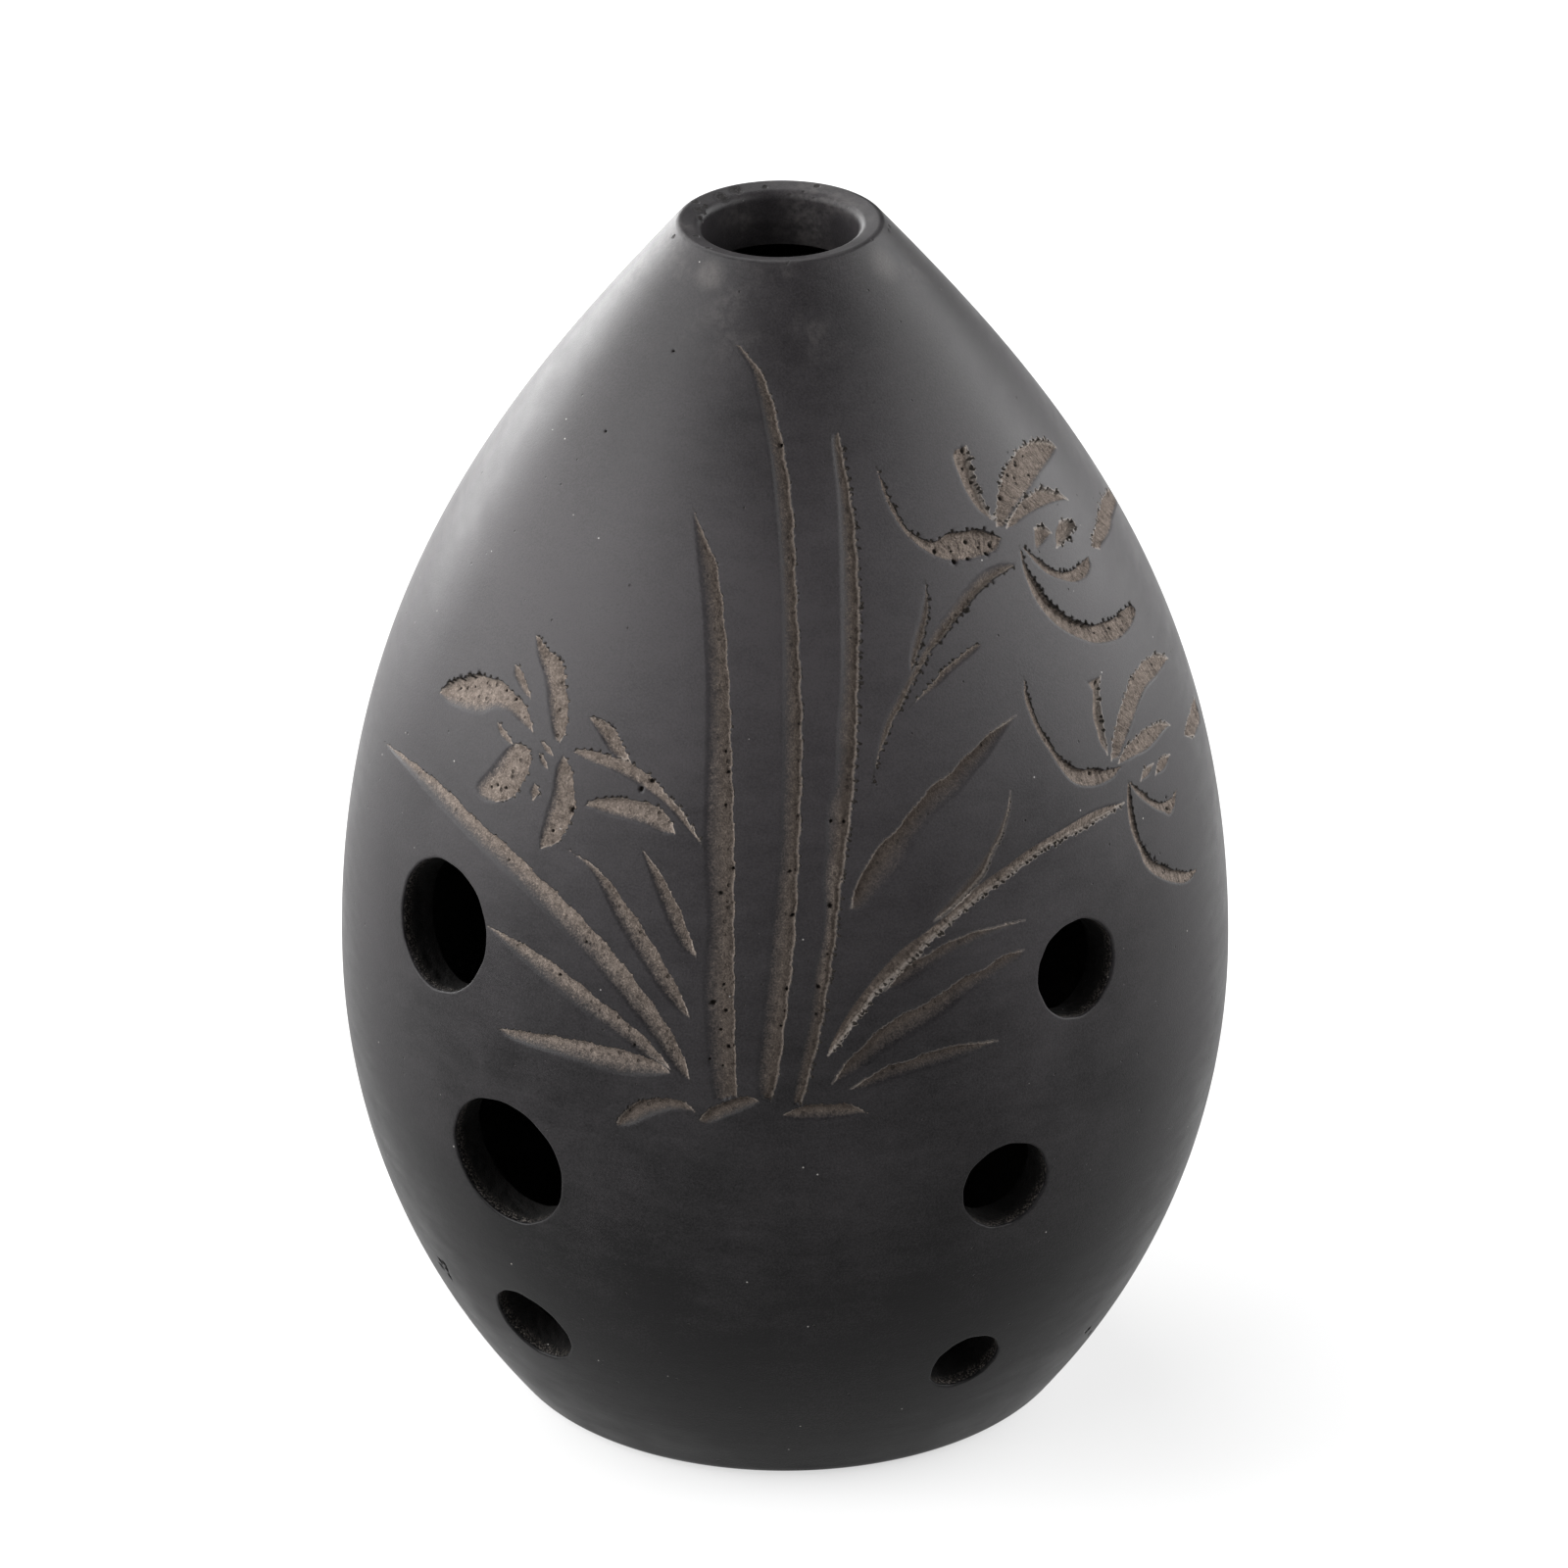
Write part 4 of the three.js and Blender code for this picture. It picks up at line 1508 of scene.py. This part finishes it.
def rounded(corner, before, after, radius, steps=10):
    """Points round a corner between the directions to two neighbouring points."""
    corner, before, after = (np.array(p, float) for p in (corner, before, after))
    a = (before - corner) / np.linalg.norm(before - corner)
    b = (after - corner) / np.linalg.norm(after - corner)
    half = math.acos(np.clip(a @ b, -1, 1)) / 2
    reach = radius / math.tan(half)
    centre = corner + (a + b) / np.linalg.norm(a + b) * radius / math.sin(half)
    start, end = corner + a * reach - centre, corner + b * reach - centre
    sweep = math.acos(np.clip(start @ end / radius**2, -1, 1))
    t = np.linspace(0, 1, steps)[:, None]
    return centre + (np.sin((1 - t) * sweep) * start + np.sin(t * sweep) * end) / math.sin(sweep)


print("worn rim:", rounded((0, 0), (-1, 0), (0, -1), 0.5)[:2].round(3).tolist())

# %% Base and joints
def slip_ring(name, node, low, high):
    """The slip between two pieces of the wall, from one height to another."""
    turned(name, node, [
        outside_line(low, high, SLIP_STEPS),
        flat_line(outside.radius_at(high), inside.radius_at(high), high),
        inside_line(high, low, SLIP_STEPS),
        flat_line(inside.radius_at(low), outside.radius_at(low), low),
    ], bare=(0, 1, 1, 1))


turned("base", "base_disc", [
    outside_line(0, FLOOR_TOP, 40),
    flat_line(outside.radius_at(FLOOR_TOP), 0, FLOOR_TOP, 12),
    flat_line(0, BASE_RADIUS, 0, 16),
], bare=(0, 1, 0))
slip_ring("base_joint", "base_slip_ring", FLOOR_TOP, WALL_LOW)
slip_ring("mouth_joint", "mouth_slip_ring", WALL_HIGH, RING_LOW)

# %% Mouth ring
rim = np.array([RIM_RADIUS, BODY_HEIGHT])
lip = np.array([BORE_RADIUS, BODY_HEIGHT - LAND_DROP])
shoulder_line = outside_line(RING_LOW, BODY_HEIGHT - WORN_OUTSIDE, 26)
bore_top = BODY_HEIGHT - BORE_SKIN
mouth_skin = np.vstack([
    shoulder_line,
    rounded(rim, shoulder_line[-1], lip, WORN_OUTSIDE, 12)[1:],
    rounded(lip, rim, (BORE_RADIUS, RING_LOW), WORN_INSIDE, 12),
    [[BORE_RADIUS, bore_top]],
])
bore_line = np.column_stack([np.full(BORE_ROWS, BORE_RADIUS), np.linspace(bore_top, RING_LOW, BORE_ROWS)])
turned("mouth", "mouth_ring", [
    mouth_skin,
    bore_line,
    flat_line(BORE_RADIUS, outside.radius_at(RING_LOW), RING_LOW),
], bare=(0, 0.35, 1))
print("straight bore, mm:", round((bore_top - RING_LOW) / MM, 2))

# %% [markdown]
# ## Studio
#
# The photograph was taken on seamless white paper with large soft lights at both sides and behind, which is
# why both flanks shine and the middle stays dark. The same is built here: a white floor, four panels that
# make the broad reflections and two that fill them in. The floor glows a little for rays from the camera
# and in reflections, so that it looks as white as overexposed paper, and still takes the soft shadow. A
# world image would be quicker, but its light couldn't be placed to match the bright bands on the clay.

# %% Floor
FLOOR_SIZE = 12
FLOOR_WHITE = (0.58, 0.58, 0.58, 1)
FLOOR_GLOW = 0.6

half = FLOOR_SIZE / 2
corners = [(-half, -half, 0), (half, -half, 0), (half, half, 0), (-half, half, 0)]
floor_mesh = bpy.data.meshes.new("floor")
floor_mesh.from_pydata(corners, [], [(0, 1, 2, 3)])
floor = bpy.data.objects.new("floor", floor_mesh)
bpy.context.scene.collection.objects.link(floor)

paper, source = new_material("pale floor")
plain_paper = paper.node_tree.nodes["Principled BSDF"]
plain_paper.inputs["Base Color"].default_value = FLOOR_WHITE
plain_paper.inputs["Roughness"].default_value = 1
plain_paper.inputs["Specular IOR Level"].default_value = 0
camera_ray = source.node("LightPath", {})
other_rays = [
    Wire(paper.node_tree, camera_ray.socket.node.outputs[name])
    for name in ("Is Glossy Ray", "Is Transmission Ray")
]
seen = (camera_ray + other_rays[0] + other_rays[1]).clamped()
glow = source.node("Emission", {"Strength": 1.0})
matt = Wire(paper.node_tree, plain_paper.outputs[0])
mixed = source.node("MixShader", {0: seen * FLOOR_GLOW, 1: matt, 2: glow})
paper.node_tree.links.new(mixed.socket, paper.node_tree.nodes["Material Output"].inputs[0])
floor_mesh.materials.append(paper)
print("floor nodes:", len(paper.node_tree.nodes))

# %% Lights and world
PANEL_DISTANCE = 0.7
AMBIENT = 0.05
# turn and rise in degrees, width and height in metres, and brightness
PANELS = {
    "left softbox": (-86, 25, 0.62, 0.75, 8.0),
    "left fill": (-50, 30, 0.6, 0.6, 5.7),
    "left edge": (-140, 12, 0.55, 0.42, 10.3),
    "rear top": (-152, 55, 0.6, 0.5, 4.0),
    "right softbox": (114, 20, 0.75, 0.6, 7.1),
    "right fill": (70, 28, 0.45, 0.5, 5.2),
}


def softbox(name, azimuth, elevation, width, height, brightness):
    """A soft light as a studio panel aimed at the flute: brightness 1 looks white."""
    data = bpy.data.lights.new(name, "AREA")
    data.shape = "RECTANGLE"
    data.size, data.size_y = width, height
    data.energy = brightness * math.pi * width * height
    lamp = bpy.data.objects.new(name, data)
    turn, rise = math.radians(azimuth), math.radians(elevation)
    way = Vector((math.cos(rise) * math.sin(turn), -math.cos(rise) * math.cos(turn), math.sin(rise)))
    lamp.matrix_world = (
        Matrix.Translation(Vector((0, 0, BODY_HEIGHT / 2)) + PANEL_DISTANCE * way)
        @ way.to_track_quat("Z", "Y").to_matrix().to_4x4()
    )
    bpy.context.scene.collection.objects.link(lamp)


for name, sizes in PANELS.items():
    softbox(name, *sizes)
world = bpy.data.worlds.new("studio")
world.use_nodes = True
background = world.node_tree.nodes["Background"]
background.inputs["Color"].default_value = (1, 1, 1, 1)
background.inputs["Strength"].default_value = AMBIENT
bpy.context.scene.world = world
bpy.context.scene.view_settings.view_transform = "Standard"
print("lights:", list(PANELS))
